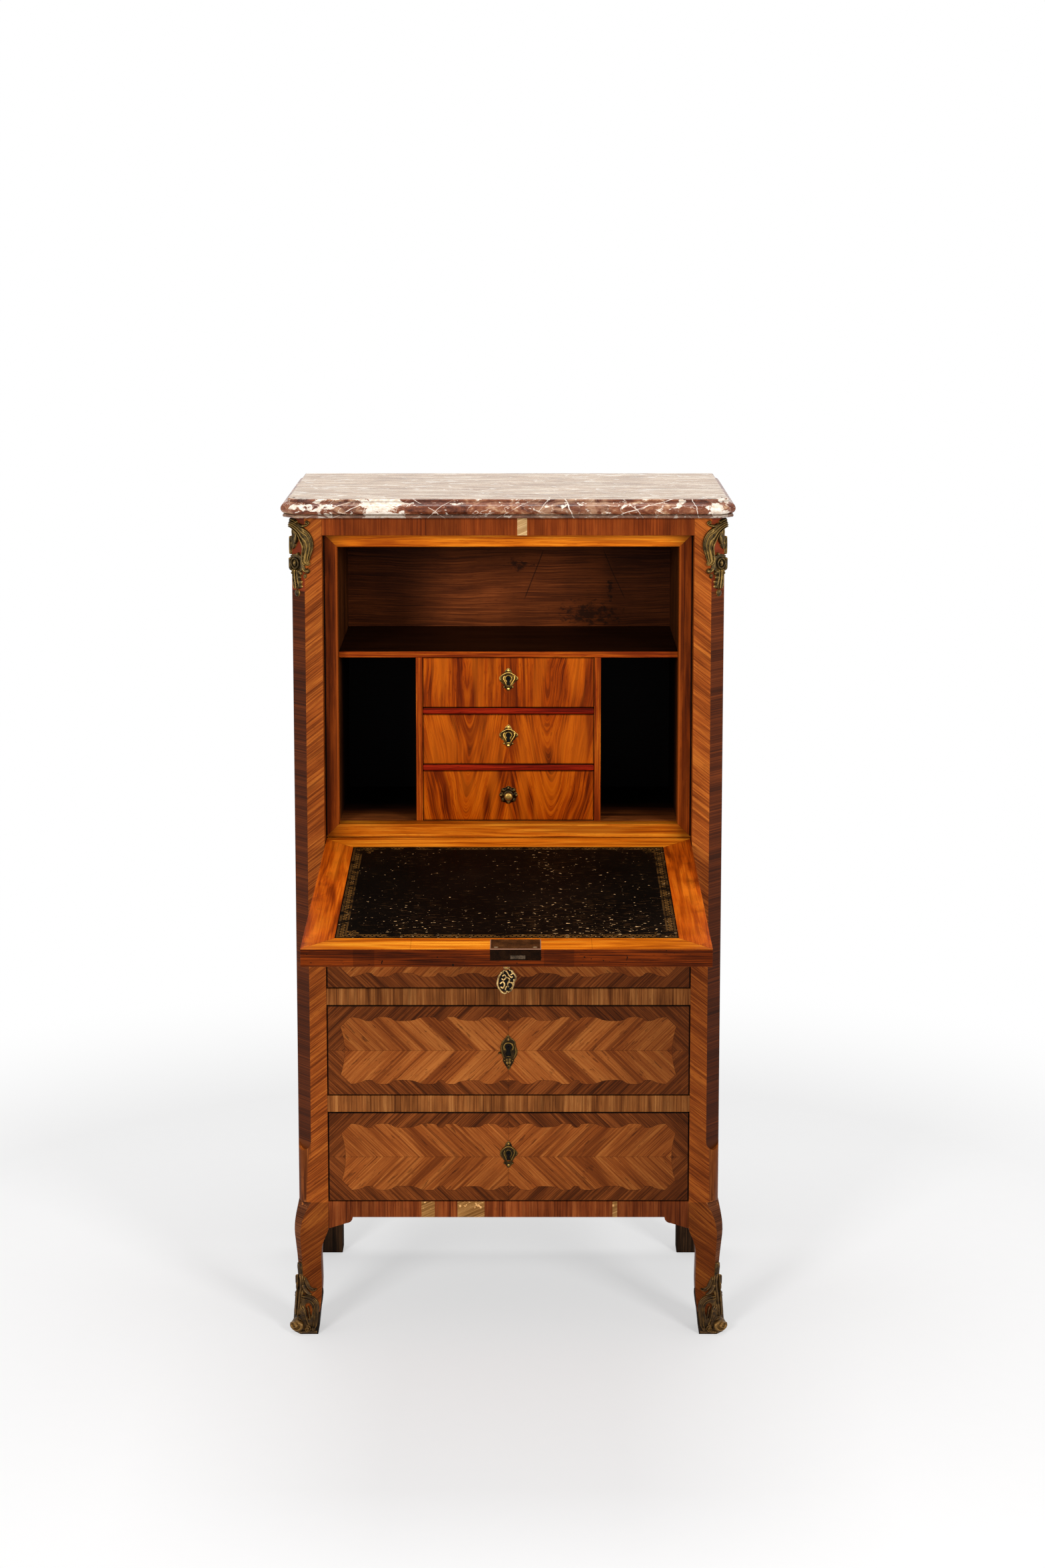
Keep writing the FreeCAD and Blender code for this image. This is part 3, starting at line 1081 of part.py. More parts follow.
for name, turn, x, y in (
    ("front", ALONG_Y, "-half_width - foot_bulge + eye_back", "front_y - foot_bulge - sabot_wall"),
    ("side", ALONG_X, "-half_width - foot_bulge - sabot_wall", "front_y - foot_bulge + eye_back"),
):
    eye = doc.addObject("Part::Cylinder", "eye_" + name)
    eye.Placement = FreeCAD.Placement(V(0, 0, 0), turn)
    bind(eye, "Radius", "eye_radius")
    bind(eye, "Height", "post_depth / 2")
    bind(eye, "Placement.Base.x", x)
    bind(eye, "Placement.Base.y", y)
    bind(eye, "Placement.Base.z", "eye_height")
    eyes.append(eye)
pierced = cut("sleeve_pierced", sleeve, fuse("eyes", eyes))
shoe = cut("shoe_left", fuse("shoe_blank", [pierced, leaf, toe]), post)
together("sabots", [shoe, mirrored("shoe_right", shoe)])

doc.recompute()
failed = [o.Label for o in doc.Objects if "Invalid" in o.State or "Error" in o.State]
if failed:
    raise RuntimeError("these did not compute: " + ", ".join(failed))
for piece in NODES:
    if piece.Shape.isNull() or not piece.Shape.isValid() or not piece.Shape.Solids:
        raise RuntimeError("no sound shape: " + piece.Label)
os.makedirs("parts", exist_ok=True)
for piece in NODES:
    piece.Shape.exportStep("parts/%s.step" % piece.Label)
print(len(NODES), "pieces written")
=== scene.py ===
from math import cos, pi, radians, sin

import bpy
import numpy as np
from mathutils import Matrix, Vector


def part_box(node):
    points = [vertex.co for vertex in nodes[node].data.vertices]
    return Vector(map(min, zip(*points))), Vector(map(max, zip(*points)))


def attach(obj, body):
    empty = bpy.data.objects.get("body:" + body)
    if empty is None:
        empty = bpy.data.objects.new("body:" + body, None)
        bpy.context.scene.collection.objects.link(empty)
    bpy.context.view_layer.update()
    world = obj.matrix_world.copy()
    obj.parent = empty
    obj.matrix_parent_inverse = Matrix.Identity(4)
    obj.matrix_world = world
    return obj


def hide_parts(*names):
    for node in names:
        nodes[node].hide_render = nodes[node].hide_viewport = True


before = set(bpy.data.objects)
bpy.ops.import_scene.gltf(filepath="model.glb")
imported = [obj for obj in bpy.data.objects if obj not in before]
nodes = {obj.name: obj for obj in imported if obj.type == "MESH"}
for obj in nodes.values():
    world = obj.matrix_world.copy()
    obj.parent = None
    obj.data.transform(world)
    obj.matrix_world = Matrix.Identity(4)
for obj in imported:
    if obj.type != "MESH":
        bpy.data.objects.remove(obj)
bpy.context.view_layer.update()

# Carcass: rear posts, back, case top, dust boards, runners and the rail that stops the fall's tail.
# Plain old oak, sawn and unpolished, gone dark with age; the boards are framed and nailed.


def colour(red, green, blue):
    """A colour as a screen shows it, each part 0 to 255, in the linear values that a shader takes."""
    shares = np.array([red, green, blue]) / 255.0
    linear = np.where(shares <= 0.04045, shares / 12.92, ((shares + 0.055) / 1.055) ** 2.4)
    return (*linear.tolist(), 1.0)


def put(place, value):
    """Links a wire to an input socket, or sets the socket to a plain value."""
    if isinstance(value, Wire):
        value.socket.id_data.links.new(value.socket, place)
    else:
        place.default_value = value


class Wire:
    """A value that varies over a surface; arithmetic with wires and numbers adds Math nodes."""

    def __init__(self, socket):
        self.socket = socket

    def math(self, operation, *others):
        node = self.socket.id_data.nodes.new("ShaderNodeMath")
        node.operation = operation
        for place, value in zip(node.inputs, (self, *others)):
            put(place, value)
        return Wire(node.outputs[0])

    def __add__(self, other):
        return self.math("ADD", other)

    def __sub__(self, other):
        return self.math("SUBTRACT", other)

    def __rsub__(self, other):
        return (self * -1.0) + other

    def __mul__(self, other):
        return self.math("MULTIPLY", other)

    def __abs__(self):
        return self.math("ABSOLUTE")

    __radd__ = __add__
    __rmul__ = __mul__

    def reach(self, other):
        """The length of a line that goes by self one way and by other square to it."""
        return (self * self + other * other).math("SQRT")

    def least(self, other):
        return self.math("MINIMUM", other)

    def most(self, other):
        return self.math("MAXIMUM", other)

    def over(self, low, high, first=0.0, last=1.0):
        """A smooth step: first where the wire is below low and last where it is above high."""
        node = self.socket.id_data.nodes.new("ShaderNodeMapRange")
        node.interpolation_type = "SMOOTHSTEP"
        for place, value in zip(node.inputs, (self, low, high, first, last)):
            put(place, value)
        return Wire(node.outputs[0])

    def under(self, low, high):
        """A smooth step down: 1 below low and 0 above high."""
        return self.over(low, high, 1.0, 0.0)


class Finish:
    """A node material round one shader; x, y, z are places and nx, ny, nz normals in the object."""

    def __init__(self, name):
        self.material = bpy.data.materials.new(name)
        self.material.use_nodes = True
        self.tree = self.material.node_tree
        self.shader = self.tree.nodes["Principled BSDF"]
        place = self.tree.nodes.new("ShaderNodeTexCoord")
        self.x, self.y, self.z = self.split(place.outputs["Object"])
        self.nx, self.ny, self.nz = self.split(place.outputs["Normal"])

    def add(self, kind, output=0, settings=(), **inputs):
        node = self.tree.nodes.new("ShaderNode" + kind)
        for key, value in settings:
            setattr(node, key, value)
        for key, value in inputs.items():
            put(node.inputs[key], value)
        return Wire(node.outputs[output])

    def split(self, socket):
        node = self.tree.nodes.new("ShaderNodeSeparateXYZ")
        self.tree.links.new(socket, node.inputs[0])
        return [Wire(part) for part in node.outputs]

    def noise(self, x, y, z, detail=2.0, roughness=0.5, distortion=0.0):
        place = self.add("CombineXYZ", X=x, Y=y, Z=z)
        return self.add("TexNoise", Vector=place, Scale=1.0, Detail=detail, Roughness=roughness,
                        Distortion=distortion)

    def mottle(self, scale, detail, roughness=0.5):
        """Noise of one scale all ways."""
        return self.noise(self.x * scale, self.y * scale, self.z * scale, detail, roughness)

    def cells(self, x):
        """One chance number for each whole step of x."""
        place = self.add("CombineXYZ", X=x)
        step = self.add("VectorMath", settings=[("operation", "FLOOR")], Vector=place)
        return self.add("TexWhiteNoise", Vector=step)

    def mix(self, share, low, high):
        node = self.tree.nodes.new("ShaderNodeMixRGB")
        for place, value in zip(node.inputs, (share, low, high)):
            put(place, colour(*value) if isinstance(value, tuple) else value)
        return Wire(node.outputs[0])

    def shade(self, tint, factor):
        """The colour tint times a number."""
        node = self.tree.nodes.new("ShaderNodeVectorMath")
        node.operation = "SCALE"
        put(node.inputs[0], tint)
        put(node.inputs["Scale"], factor)
        return Wire(node.outputs[0])

    def ramp(self, value, *stops):
        node = self.tree.nodes.new("ShaderNodeValToRGB")
        put(node.inputs[0], value)
        ladder = node.color_ramp.elements
        while len(ladder) < len(stops):
            ladder.new(0.5)
        for step, (place, tint) in zip(ladder, stops):
            step.position = place
            step.color = colour(*tint)
        return Wire(node.outputs[0])

    def grain(self, way):
        """Places along, across and through a board whose grain runs along x, y or z."""
        ways = {"x": (self.x, self.z, self.y), "y": (self.y, self.x, self.z),
                "z": (self.z, self.x, self.y)}
        return ways[way]

    def wood(self, along, across, deep, tones, seed=0.0, streak=0.6, broad=0.45, fine=1.0):
        """Colour and height of grain: noises stretched along it give figure, stripes, hairs and pores.

        tones are its dark, middle and light colour; streak, broad and fine say how strong its parts are.
        """
        dark, middle, light = tones
        figure = self.noise(along * 5.0, across * 48.0, deep * 48.0 + seed, 3.0, 0.55, 0.7)
        stripe = self.noise(along * 7.0, across * 430.0, deep * 430.0 + seed, 3.0, 0.6)
        line = self.noise(along * 18.0, across * 1500.0, deep * 1500.0 + seed, 2.0, 0.6)
        tone = (figure - 0.5) * broad + (stripe - 0.5) * (0.62 * fine) + (line - 0.5) * (0.4 * fine) + 0.5
        tint = self.ramp(tone, (0.37, dark), (0.5, middle), (0.63, light))
        mark = self.noise(along * 4.0, across * 150.0, deep * 150.0 + (seed + 7.3), 2.0).over(0.56, 0.66)
        hair = self.noise(along * 13.0, across * 800.0, deep * 800.0 + (seed + 1.7), 2.0).over(0.57, 0.66)
        pore = self.noise(along * 75.0, across * 700.0, deep * 700.0 + (seed + 3.1), 1.0).over(0.63, 0.69)
        tint = self.mix((mark * streak).most(hair * (0.42 * fine)).most(pore * (0.5 * fine)), tint, dark)
        return tint, stripe * 0.6 + line * 0.4

    def surface(self, tint, rough, height=None, relief=0.00012, gloss=0.045, metallic=0.0):
        """Feeds the shader: colour, roughness and relief vary, gloss and metal are the same all over."""
        put(self.shader.inputs["Base Color"], tint)
        put(self.shader.inputs["Roughness"], rough)
        if height is not None:
            bump = self.add("Bump", Height=height, Distance=relief)
            put(self.shader.inputs["Normal"], bump)
        self.shader.inputs["Specular IOR Level"].default_value = gloss
        self.shader.inputs["Metallic"].default_value = metallic
        return self

    def cover(self, *names):
        for name in names:
            slots = nodes[name].data.materials
            slots.clear()
            slots.append(self.material)


def soften(width, *names):
    """Rounds the edges of carried-over pieces: their loose triangles are welded, then bevelled."""
    for name in names:
        weld = nodes[name].modifiers.new("weld", "WELD")
        weld.merge_threshold = 0.00002
        bevel = nodes[name].modifiers.new("edges", "BEVEL")
        bevel.width = width
        bevel.segments = 2
        bevel.limit_method = "ANGLE"
        bevel.angle_limit = radians(40)
        bevel.harden_normals = True


OAK = ((20, 12, 7), (42, 27, 16), (70, 47, 29))


def old_oak(name, way, planks=0.0):
    """Old oak with its grain along x, y or z; planks is the width of boards laid side by side across x."""
    oak = Finish(name)
    along, across, deep = oak.grain(way)
    seed = oak.cells(oak.x * (1.0 / planks) + 0.37) * 9.0 if planks else 0.0
    tint, height = oak.wood(along, across, deep + seed, OAK, 2.0)
    grime = oak.mottle(7.0, 4.0)
    tint = oak.shade(tint, grime * 1.1 + 0.4)
    if planks:
        seam = abs((oak.x * (1.0 / planks) + 0.37).math("FRACT") - 0.5).over(0.486, 0.494)
        tint = oak.mix(seam, tint, (8, 6, 4))
    return oak.surface(tint, grime * 0.2 + 0.62, height, 0.0006)


old_oak("old oak upright", "z").cover("left_rear_post", "right_rear_post")
old_oak("old oak boards of the back", "z", 0.16).cover("back_panel")
old_oak("old oak along the front", "x").cover("case_top", "dust_boards", "fall_stop")
old_oak("old oak front to back", "y").cover("drawer_runners")
soften(0.0012, "left_rear_post", "right_rear_post", "case_top", "fall_stop")

# Front posts: stile, canted corner and curved leg, each in one piece of oak.
# Veneered: striped wood on the slant on the faces, dark wood across the cant, upright on the round corner.
HALF_WIDTH = 0.3215
FRONT_Y = 0.065
CANT_STOP = 0.3045
LEG_TOP = 0.208
RED_PATCH = 1.152
STILE = ((98, 42, 10), (146, 70, 22), (178, 98, 34))
# How much painted shade darkens the lower right of the front.
LOWER_RIGHT_SHADE = 0.36


def slanted(first, second, degrees):
    """Coordinates along and across a grain that leans by degrees from first towards second."""
    lean = radians(degrees)
    return first * cos(lean) + second * sin(lean), second * cos(lean) - first * sin(lean)


def lower_right_shade(finish):
    """Less than 1 towards the lower right of the front, where shade is painted."""
    return 1.0 - finish.x.over(0.02, 0.3) * finish.z.under(0.66, 0.8) * LOWER_RIGHT_SHADE


posts = Finish("post veneer")
spread = abs(posts.x) - posts.y
along, across = slanted(spread * -1.0, posts.z, 38)
side = posts.x.math("SIGN") * 3.1
stile, stile_height = posts.wood(along, across, side, STILE, 1.0)
level, step_up = slanted(spread, posts.z, 8)
cant, _ = posts.wood(level, step_up, side, ((54, 23, 8), (80, 34, 10), (104, 48, 17)), 4.0, 0.3)
red, _ = posts.wood(posts.z, spread, side, ((92, 33, 13), (124, 49, 22), (150, 66, 33)), 9.0, 0.3)
cant = posts.mix(posts.z.over(RED_PATCH, RED_PATCH + 0.003), cant, red)
shin, _ = posts.wood(level, step_up, side, ((62, 31, 15), (104, 56, 29), (132, 78, 46)), 7.0, 0.5)
cant = posts.mix(posts.z.over(LEG_TOP - 0.0006, LEG_TOP - 0.0002), shin, cant)
upright, _ = posts.wood(posts.z, spread, side, ((82, 37, 11), (126, 63, 23), (153, 86, 37)), 6.0)
corner = abs(posts.nx).least(abs(posts.ny)).over(0.3, 0.4)
above_leg = posts.z.over(LEG_TOP - 0.0005, LEG_TOP + 0.0005)
rounded = corner * above_leg * posts.z.under(CANT_STOP - 0.002, CANT_STOP)
stile = posts.shade(stile, above_leg * 0.36 + 0.64)
tint = posts.mix(rounded, posts.mix(corner, stile, cant), upright)
chip = posts.mottle(160.0, 3.0).over(0.58, 0.62)
chip = chip * abs(posts.z - (LEG_TOP - 0.004)).under(0.002, 0.01) * corner
tint = posts.mix(chip, tint, (172, 100, 50))
grime = posts.mottle(14.0, 4.0)
# Painted shade darkens the posts towards the lower right of the front.
tint = posts.shade(tint, (grime * 0.6 + 0.67) * (posts.x.over(-0.1, 0.1) * 0.16 + 0.92) * lower_right_shade(posts))
posts.surface(tint, grime * 0.22 + 0.26, stile_height).cover(
    "left_front_post", "right_front_post")
soften(0.0008, "left_front_post", "right_front_post")

# Side panels between the posts: oak boards, veneered on the outside.
# Four matched quarters of slanted veneer meet at the middle, inside a cross-grained border.
SIDE_MIDDLE_Y = 0.239
SIDE_MIDDLE_Z = 0.735
SIDE_BORDER = 0.034
BORDER = ((54, 23, 6), (97, 46, 15), (130, 68, 27))
FIELD = ((94, 42, 12), (138, 71, 26), (163, 96, 42))
panels = Finish("side veneer")
lengthwise = abs(panels.y - SIDE_MIDDLE_Y)
upwards = abs(panels.z - SIDE_MIDDLE_Z)
along, across = slanted(lengthwise, upwards, 50)
field, field_height = panels.wood(along, across, 0.0, FIELD, 3.0)
border, _ = panels.wood(lengthwise, upwards, 0.0, BORDER, 5.0)
low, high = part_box("left_side_panel")
inside = ((high[1] - low[1]) / 2 - SIDE_BORDER) - lengthwise
inside = inside.least((high[2] - SIDE_MIDDLE_Z - SIDE_BORDER) - upwards)
tint = panels.mix(inside.over(-0.0002, 0.0002), border, field)
joint = abs(inside).least(lengthwise).least(upwards).over(0.0002, 0.0006)
tint = panels.shade(tint, joint * 0.45 + 0.55)
outer = abs(panels.x).over(HALF_WIDTH - 0.0022, HALF_WIDTH - 0.0018)
bare, _ = panels.wood(panels.z, panels.y, panels.x, OAK, 1.0)
tint = panels.mix(outer, bare, tint)
grime = panels.mottle(12.0, 4.0)
panels.surface(panels.shade(tint, grime * 0.5 + 0.72), grime * 0.2 + 0.3, field_height)
panels.cover("left_side_panel", "right_side_panel")

# Front rails, frieze and apron: oak rails tenoned into the posts.
# Faced with short lengths of upright veneer of mixed tone; a few are lost and filled with paler wood.
def crossbanding(name, tones, strip, seed, filling=(), patches=()):
    """Upright veneer in strips; patches are (left, right) ends of fillings, and filling their tones."""
    band = Finish(name)
    wander = band.noise(band.x * 9.0, seed, 0.0, 2.0) * 2.2
    part = band.cells(band.x * (1.0 / strip) + wander + seed)
    tint, height = band.wood(band.z, band.x, part * 5.0, tones, seed, 0.5, 0.45, 0.7)
    tint = band.shade(tint, part * 0.5 + 0.72)
    for left, right in patches:
        fill = band.x.over(left - 0.0004, left) * band.x.under(right, right + 0.0004)
        fill = fill * (0.0 - band.ny).over(0.6, 0.8)
        level, climb = slanted(band.x, band.z, 24)
        pale, _ = band.wood(level, climb, 0.0, filling, seed + 3)
        chipped = band.noise(band.x * 150.0, band.z * 150.0, seed, 3.0).over(0.58, 0.6)
        chipped = chipped * abs(band.z - FILL_CHIP).under(0.004, 0.007)
        tint = band.mix(fill, tint, band.mix(chipped, pale, (226, 170, 106)))
    grime = band.mottle(30.0, 4.0)
    # Painted shade darkens the strips towards the lower right of the front.
    return band.surface(band.shade(tint, (grime * 0.5 + 0.74) * lower_right_shade(band)), grime * 0.2 + 0.28, height)


FILL_CHIP = 0.204
crossbanding("rail veneer", ((80, 40, 14), (130, 74, 32), (164, 106, 54)), 0.043, 2.0).cover(
    "drawer_rails", "fall_rail")
crossbanding("frieze veneer", ((86, 32, 6), (121, 51, 13), (142, 68, 22)), 0.06, 5.0,
             ((150, 110, 66), (186, 148, 98), (206, 172, 124)), [(0.0137, 0.0279)]).cover("frieze_rail")
crossbanding("apron veneer", ((73, 28, 8), (120, 55, 21), (148, 79, 36)), 0.05, 8.0,
             ((104, 66, 28), (150, 104, 54), (178, 132, 78)),
             [(-0.133, -0.113), (-0.078, -0.037), (0.159, 0.166)]).cover("apron")
soften(0.0006, "drawer_rails", "fall_rail", "frieze_rail", "apron")

# Marble top: one slab lying on the case, its front and sides moulded with a step, a round and a thin foot.
# Red-brown breccia with cream clouds and thin white veins, polished; its top is painted pale, a painted
# reflection of the bright studio on the polish.
MARBLE_LOW = 1.264
MARBLE_TALL = 0.0275
MOULD = 0.021
MARBLE_HALF = HALF_WIDTH + 0.015
MARBLE_CANT = 0.021
MARBLE_REAR = FRONT_Y + 0.335
MARBLE_FRONT = FRONT_Y - 0.015
MITRE = 0.41421
NOOK_SHARE = 0.5857864


def skin(points, around=False, height=None):
    """Quads over a grid of points of two parameters; around joins its last column to its first.

    height is the relief at each point, for metal that is rubbed and painted with a highlight where it
    stands high.
    """
    rows, columns = points.shape[:2]
    index = np.arange(rows * columns).reshape(rows, columns)
    if around:
        index = np.concatenate([index, index[:, :1]], axis=1)
    faces = np.stack([index[:-1, :-1], index[:-1, 1:], index[1:, 1:], index[1:, :-1]], axis=-1)
    relief = np.zeros(rows * columns) if height is None else height.reshape(-1)
    return points.reshape(-1, 3), faces.reshape(-1, 4), relief


def piece(name, skins, body, slot, finish, *replaced, flip=False):
    """One object of several welded skins, which rides on a body and may stand for CAD pieces."""
    offsets = np.cumsum([0] + [len(points) for points, _, _ in skins])
    points = np.concatenate([points for points, _, _ in skins])
    faces = np.concatenate([faces + offset for (_, faces, _), offset in zip(skins, offsets)])
    relief = np.concatenate([height for _, _, height in skins])
    places, first, merged = np.unique(np.round(points, 7), axis=0, return_index=True, return_inverse=True)
    faces = merged.reshape(-1)[faces[:, ::-1] if flip else faces]
    outlines = [list(dict.fromkeys(face)) for face in faces.tolist()]
    mesh = bpy.data.meshes.new(name)
    mesh.from_pydata(places.tolist(), [], [outline for outline in outlines if len(outline) > 2])
    mesh.attributes.new("relief", "FLOAT", "POINT").data.foreach_set("value", relief[first])
    mesh.validate()
    mesh.shade_smooth()
    mesh.set_sharp_from_angle(angle=radians(55))
    mesh.materials.append(finish.material)
    made = bpy.data.objects.new(name, mesh)
    bpy.context.scene.collection.objects.link(made)
    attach(made, body)
    if replaced:
        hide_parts(*replaced)
    return made


def curve(points, count, closed=False):
    """A smooth curve through points: a cubic between each two, by its neighbours, at count places."""
    knots = np.array(points, dtype=float)
    if not closed:
        knots = np.concatenate([2 * knots[:1] - knots[1:2], knots, 2 * knots[-1:] - knots[-2:-1]])
        place = np.linspace(0, len(knots) - 3, count)
        first = np.minimum(place.astype(int), len(knots) - 4)
        a, b, c, d = (knots[first + k] for k in range(4))
    else:
        place = np.arange(count) / count * len(knots)
        first = place.astype(int)
        a, b, c, d = (knots[(first + k - 1) % len(knots)] for k in range(4))
    share = (place - first)[:, None]
    return b + 0.5 * share * (c - a + share * (2 * a - 5 * b + 4 * c - d + share * (3 * (b - c) + d - a)))


marble = Finish("red marble")
drift = marble.noise(marble.x * 16.0, marble.y * 24.0, marble.z * 40.0, 6.0, 0.66, 1.2)
grains = marble.noise(marble.x * 120.0, marble.y * 160.0, marble.z * 200.0, 4.0, 0.7)
tint = marble.ramp(drift * 0.7 + grains * 0.3, (0.38, (62, 27, 15)), (0.47, (106, 54, 32)),
                   (0.55, (138, 84, 56)), (0.63, (194, 156, 122)))
for haze_x, haze_half in ((0.07, 0.05), (0.132, 0.024), (-0.236, 0.03)):
    haze = abs(marble.x - haze_x).under(haze_half * 0.4, haze_half) * drift.over(0.4, 0.56)
    tint = marble.mix(haze * 0.6, tint, (180, 144, 114))
crackle = marble.noise(marble.x * 26.0, marble.y * 40.0, marble.z * 34.0 + 3.0, 3.0, 0.55, 0.8)
crackle = abs(crackle - 0.5).under(0.003, 0.012) * drift.over(0.42, 0.54)
tint = marble.mix(crackle * 0.75, tint, (226, 206, 186))
# Pale clusters: (middle along x, half width, how much of it is cream), strongest on the front moulding.
cloud = marble.noise(marble.x * 46.0, marble.y * 60.0, marble.z * 80.0 + 1.0, 5.0, 0.62, 0.4)
near_front = marble.y.under(0.07, 0.15)
for cream_x, cream_half, cream in ((-0.284, 0.036, 0.13), (-0.197, 0.021, 0.22), (-0.166, 0.013, 0.12),
                                   (0.31, 0.019, 0.17), (0.15, 0.05, 0.03), (0.23, 0.04, 0.04)):
    cloud = cloud + abs(marble.x - cream_x).under(cream_half * 0.4, cream_half * 1.3) * near_front * cream
cream_share = cloud.over(0.61, 0.66)
tint = marble.mix(cream_share * 0.94, tint,
                  marble.ramp(grains, (0.35, (206, 184, 160)), (0.6, (242, 232, 218))))
# Veins: (x at the slab's foot, lean over the front, half width); each wanders and thins out.
climb = (marble.z - MARBLE_LOW) + (marble.y - MARBLE_FRONT) * 0.35
wander = marble.noise(marble.x * 30.0, marble.y * 30.0, marble.z * 60.0, 3.0) - 0.5
thin = marble.noise(marble.x * 60.0 + 5.0, marble.y * 60.0, marble.z * 60.0, 2.0)
for vein_x, lean, half in ((0.146, 3.1, 0.0024), (0.281, -0.3, 0.0009), (0.097, -0.4, 0.0012),
                           (-0.09, -1.6, 0.0011), (-0.12, 1.2, 0.0008), (-0.262, 2.2, 0.0018),
                           (-0.302, 2.6, 0.0016), (0.036, 0.8, 0.0007), (0.2, -0.9, 0.0008),
                           (-0.02, 1.9, 0.0009)):
    line = abs(marble.x - vein_x - climb * lean - wander * 0.012)
    vein = line.under(half * 0.35, half) * thin.over(0.36, 0.5)
    tint = marble.mix(vein * 0.88, tint, (232, 216, 200))
# The top is painted pale, a painted reflection of the bright studio on the polish, with long streaks that
# run along the slab.
streaks = marble.noise(marble.x * 9.0, marble.y * 70.0, 2.0, 5.0, 0.68, 0.6)
wear_and_sheen = marble.ramp(streaks * 0.8 + grains * 0.2, (0.36, (130, 98, 70)), (0.5, (184, 156, 126)),
                     (0.62, (224, 208, 184)))
threads = marble.noise(marble.x * 9.0, marble.y * 26.0, 7.0, 3.0, 0.5, 0.6)
wear_and_sheen = marble.mix(abs(threads - 0.5).under(0.004, 0.014) * 0.8, wear_and_sheen, (238, 230, 216))
tint = marble.mix(marble.nz.over(0.93, 0.99) * 0.8, tint, wear_and_sheen)
foot = marble.z.under(MARBLE_LOW + 0.0045, MARBLE_LOW + 0.006)
tint = marble.mix(foot * 0.6, tint, (96, 76, 64))
# Painted shade: a dark line along the step under the top's edge, for the shadow in its fillet.
groove_shade = abs(marble.z - (MARBLE_LOW + 0.0236)).over(0.0004, 0.0011)
tint = marble.shade(tint, groove_shade * 0.45 + 0.55)
marble.surface(tint, grains * 0.14 + 0.2, grains * 0.6 + cream_share * 0.1, 0.00015, gloss=0.25)

# The moulding's section, as (out from the slab's straight part, up), from the underside round to the top.
round_out = np.stack([0.0115 + 0.0092 * np.sin(np.linspace(0.12, pi * 0.86, 22)),
                      0.0128 - 0.0083 * np.cos(np.linspace(0.12, pi * 0.86, 22))], axis=1)
section = np.concatenate([
    np.array([[0.0, 0.0], [0.0165, 0.0], [0.0174, 0.0006], [0.0178, 0.0022], [0.0174, 0.0038],
              [0.0165, 0.0043], [0.0146, 0.0044]]),
    round_out,
    np.array([[0.0128, 0.0212], [0.0118, 0.0219], [0.0108, 0.0222], [0.0104, 0.0228], [0.0103, 0.0262],
              [0.0098, 0.0270], [0.0088, 0.0274], [0.0068, 0.0275], [0.0, 0.0275]]),
])
inner = MARBLE_HALF - MOULD
nook = MARBLE_CANT - MOULD * NOOK_SHARE
ahead = MARBLE_FRONT + MOULD
route = np.array([[-inner, MARBLE_REAR], [-inner, ahead + nook], [-inner + nook, ahead],
                  [inner - nook, ahead], [inner, ahead + nook], [inner, MARBLE_REAR]])
# Each corner's outward way: along the mitre between its two runs, as long as keeps the moulding's width.
mitre = np.array([[-1, 0], [-1, -MITRE], [-MITRE, -1], [MITRE, -1], [1, -MITRE], [1, 0]])
skins = []
for run in range(5):
    ends = [run, run + 1]
    ring = route[ends][None] + section[:, 0][:, None, None] * mitre[ends][None]
    height = np.broadcast_to((MARBLE_LOW + section[:, 1])[:, None, None], (len(section), 2, 1))
    share = np.linspace(0, 1, 24)[None, :, None]
    rail = np.concatenate([ring, height], axis=2)
    skins.append(skin(rail[:, :1] * (1 - share) + rail[:, 1:] * share))
for level in (MARBLE_LOW, MARBLE_LOW + MARBLE_TALL):
    left_edge = np.column_stack([route[:3], np.full(3, level)])
    right_edge = np.column_stack([route[:2:-1], np.full(3, level)])
    sheet = np.stack([left_edge, right_edge], axis=1)
    skins.append(skin(sheet if level > MARBLE_LOW else sheet[::-1]))
rear = np.stack([np.column_stack([side * (inner + section[:, 0]), np.full(len(section), MARBLE_REAR),
                                  MARBLE_LOW + section[:, 1]]) for side in (-1, 1)], axis=1)
skins.append(skin(rear[:, ::-1]))
piece("marble_slab", skins, "case", "marble", marble, "marble_top")

# Stop frame round the opening: four mitred strips that the shut fall closes against.
# Golden striped veneer along each strip; the upright strips are browner and mottled,
# and a black line of shadow parts them from the posts.
GOLD = ((142, 59, 4), (209, 110, 15), (238, 152, 39))
low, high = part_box("stop_frame")
FRAME_WIDE = 0.0205
SHADOW_GAP = 0.003
strip = Finish("golden frame veneer")
from_side = high[0] - abs(strip.x)
from_end = (high[2] - strip.z).least(strip.z - low[2])
flat, flat_height = strip.wood(strip.x, strip.z, strip.y, GOLD, 1.0, 0.6, 0.5, 0.7)
lit = (from_side.over(0.004, 0.05) * 0.5 + 0.5) * (strip.z.over(0.9, 1.0) * 0.25 + 0.75)
flat = strip.shade(flat, lit)
stand, _ = strip.wood(strip.z, strip.x, strip.y, ((64, 20, 2), (106, 42, 5), (138, 62, 12)), 4.0, 0.7,
                      0.6, 0.6)
blotch = strip.noise(strip.x * 40.0, strip.y * 40.0, strip.z * 26.0, 4.0)
stand = strip.shade(stand, blotch * 0.9 + 0.55 + strip.x.over(-0.1, 0.1) * 0.15)
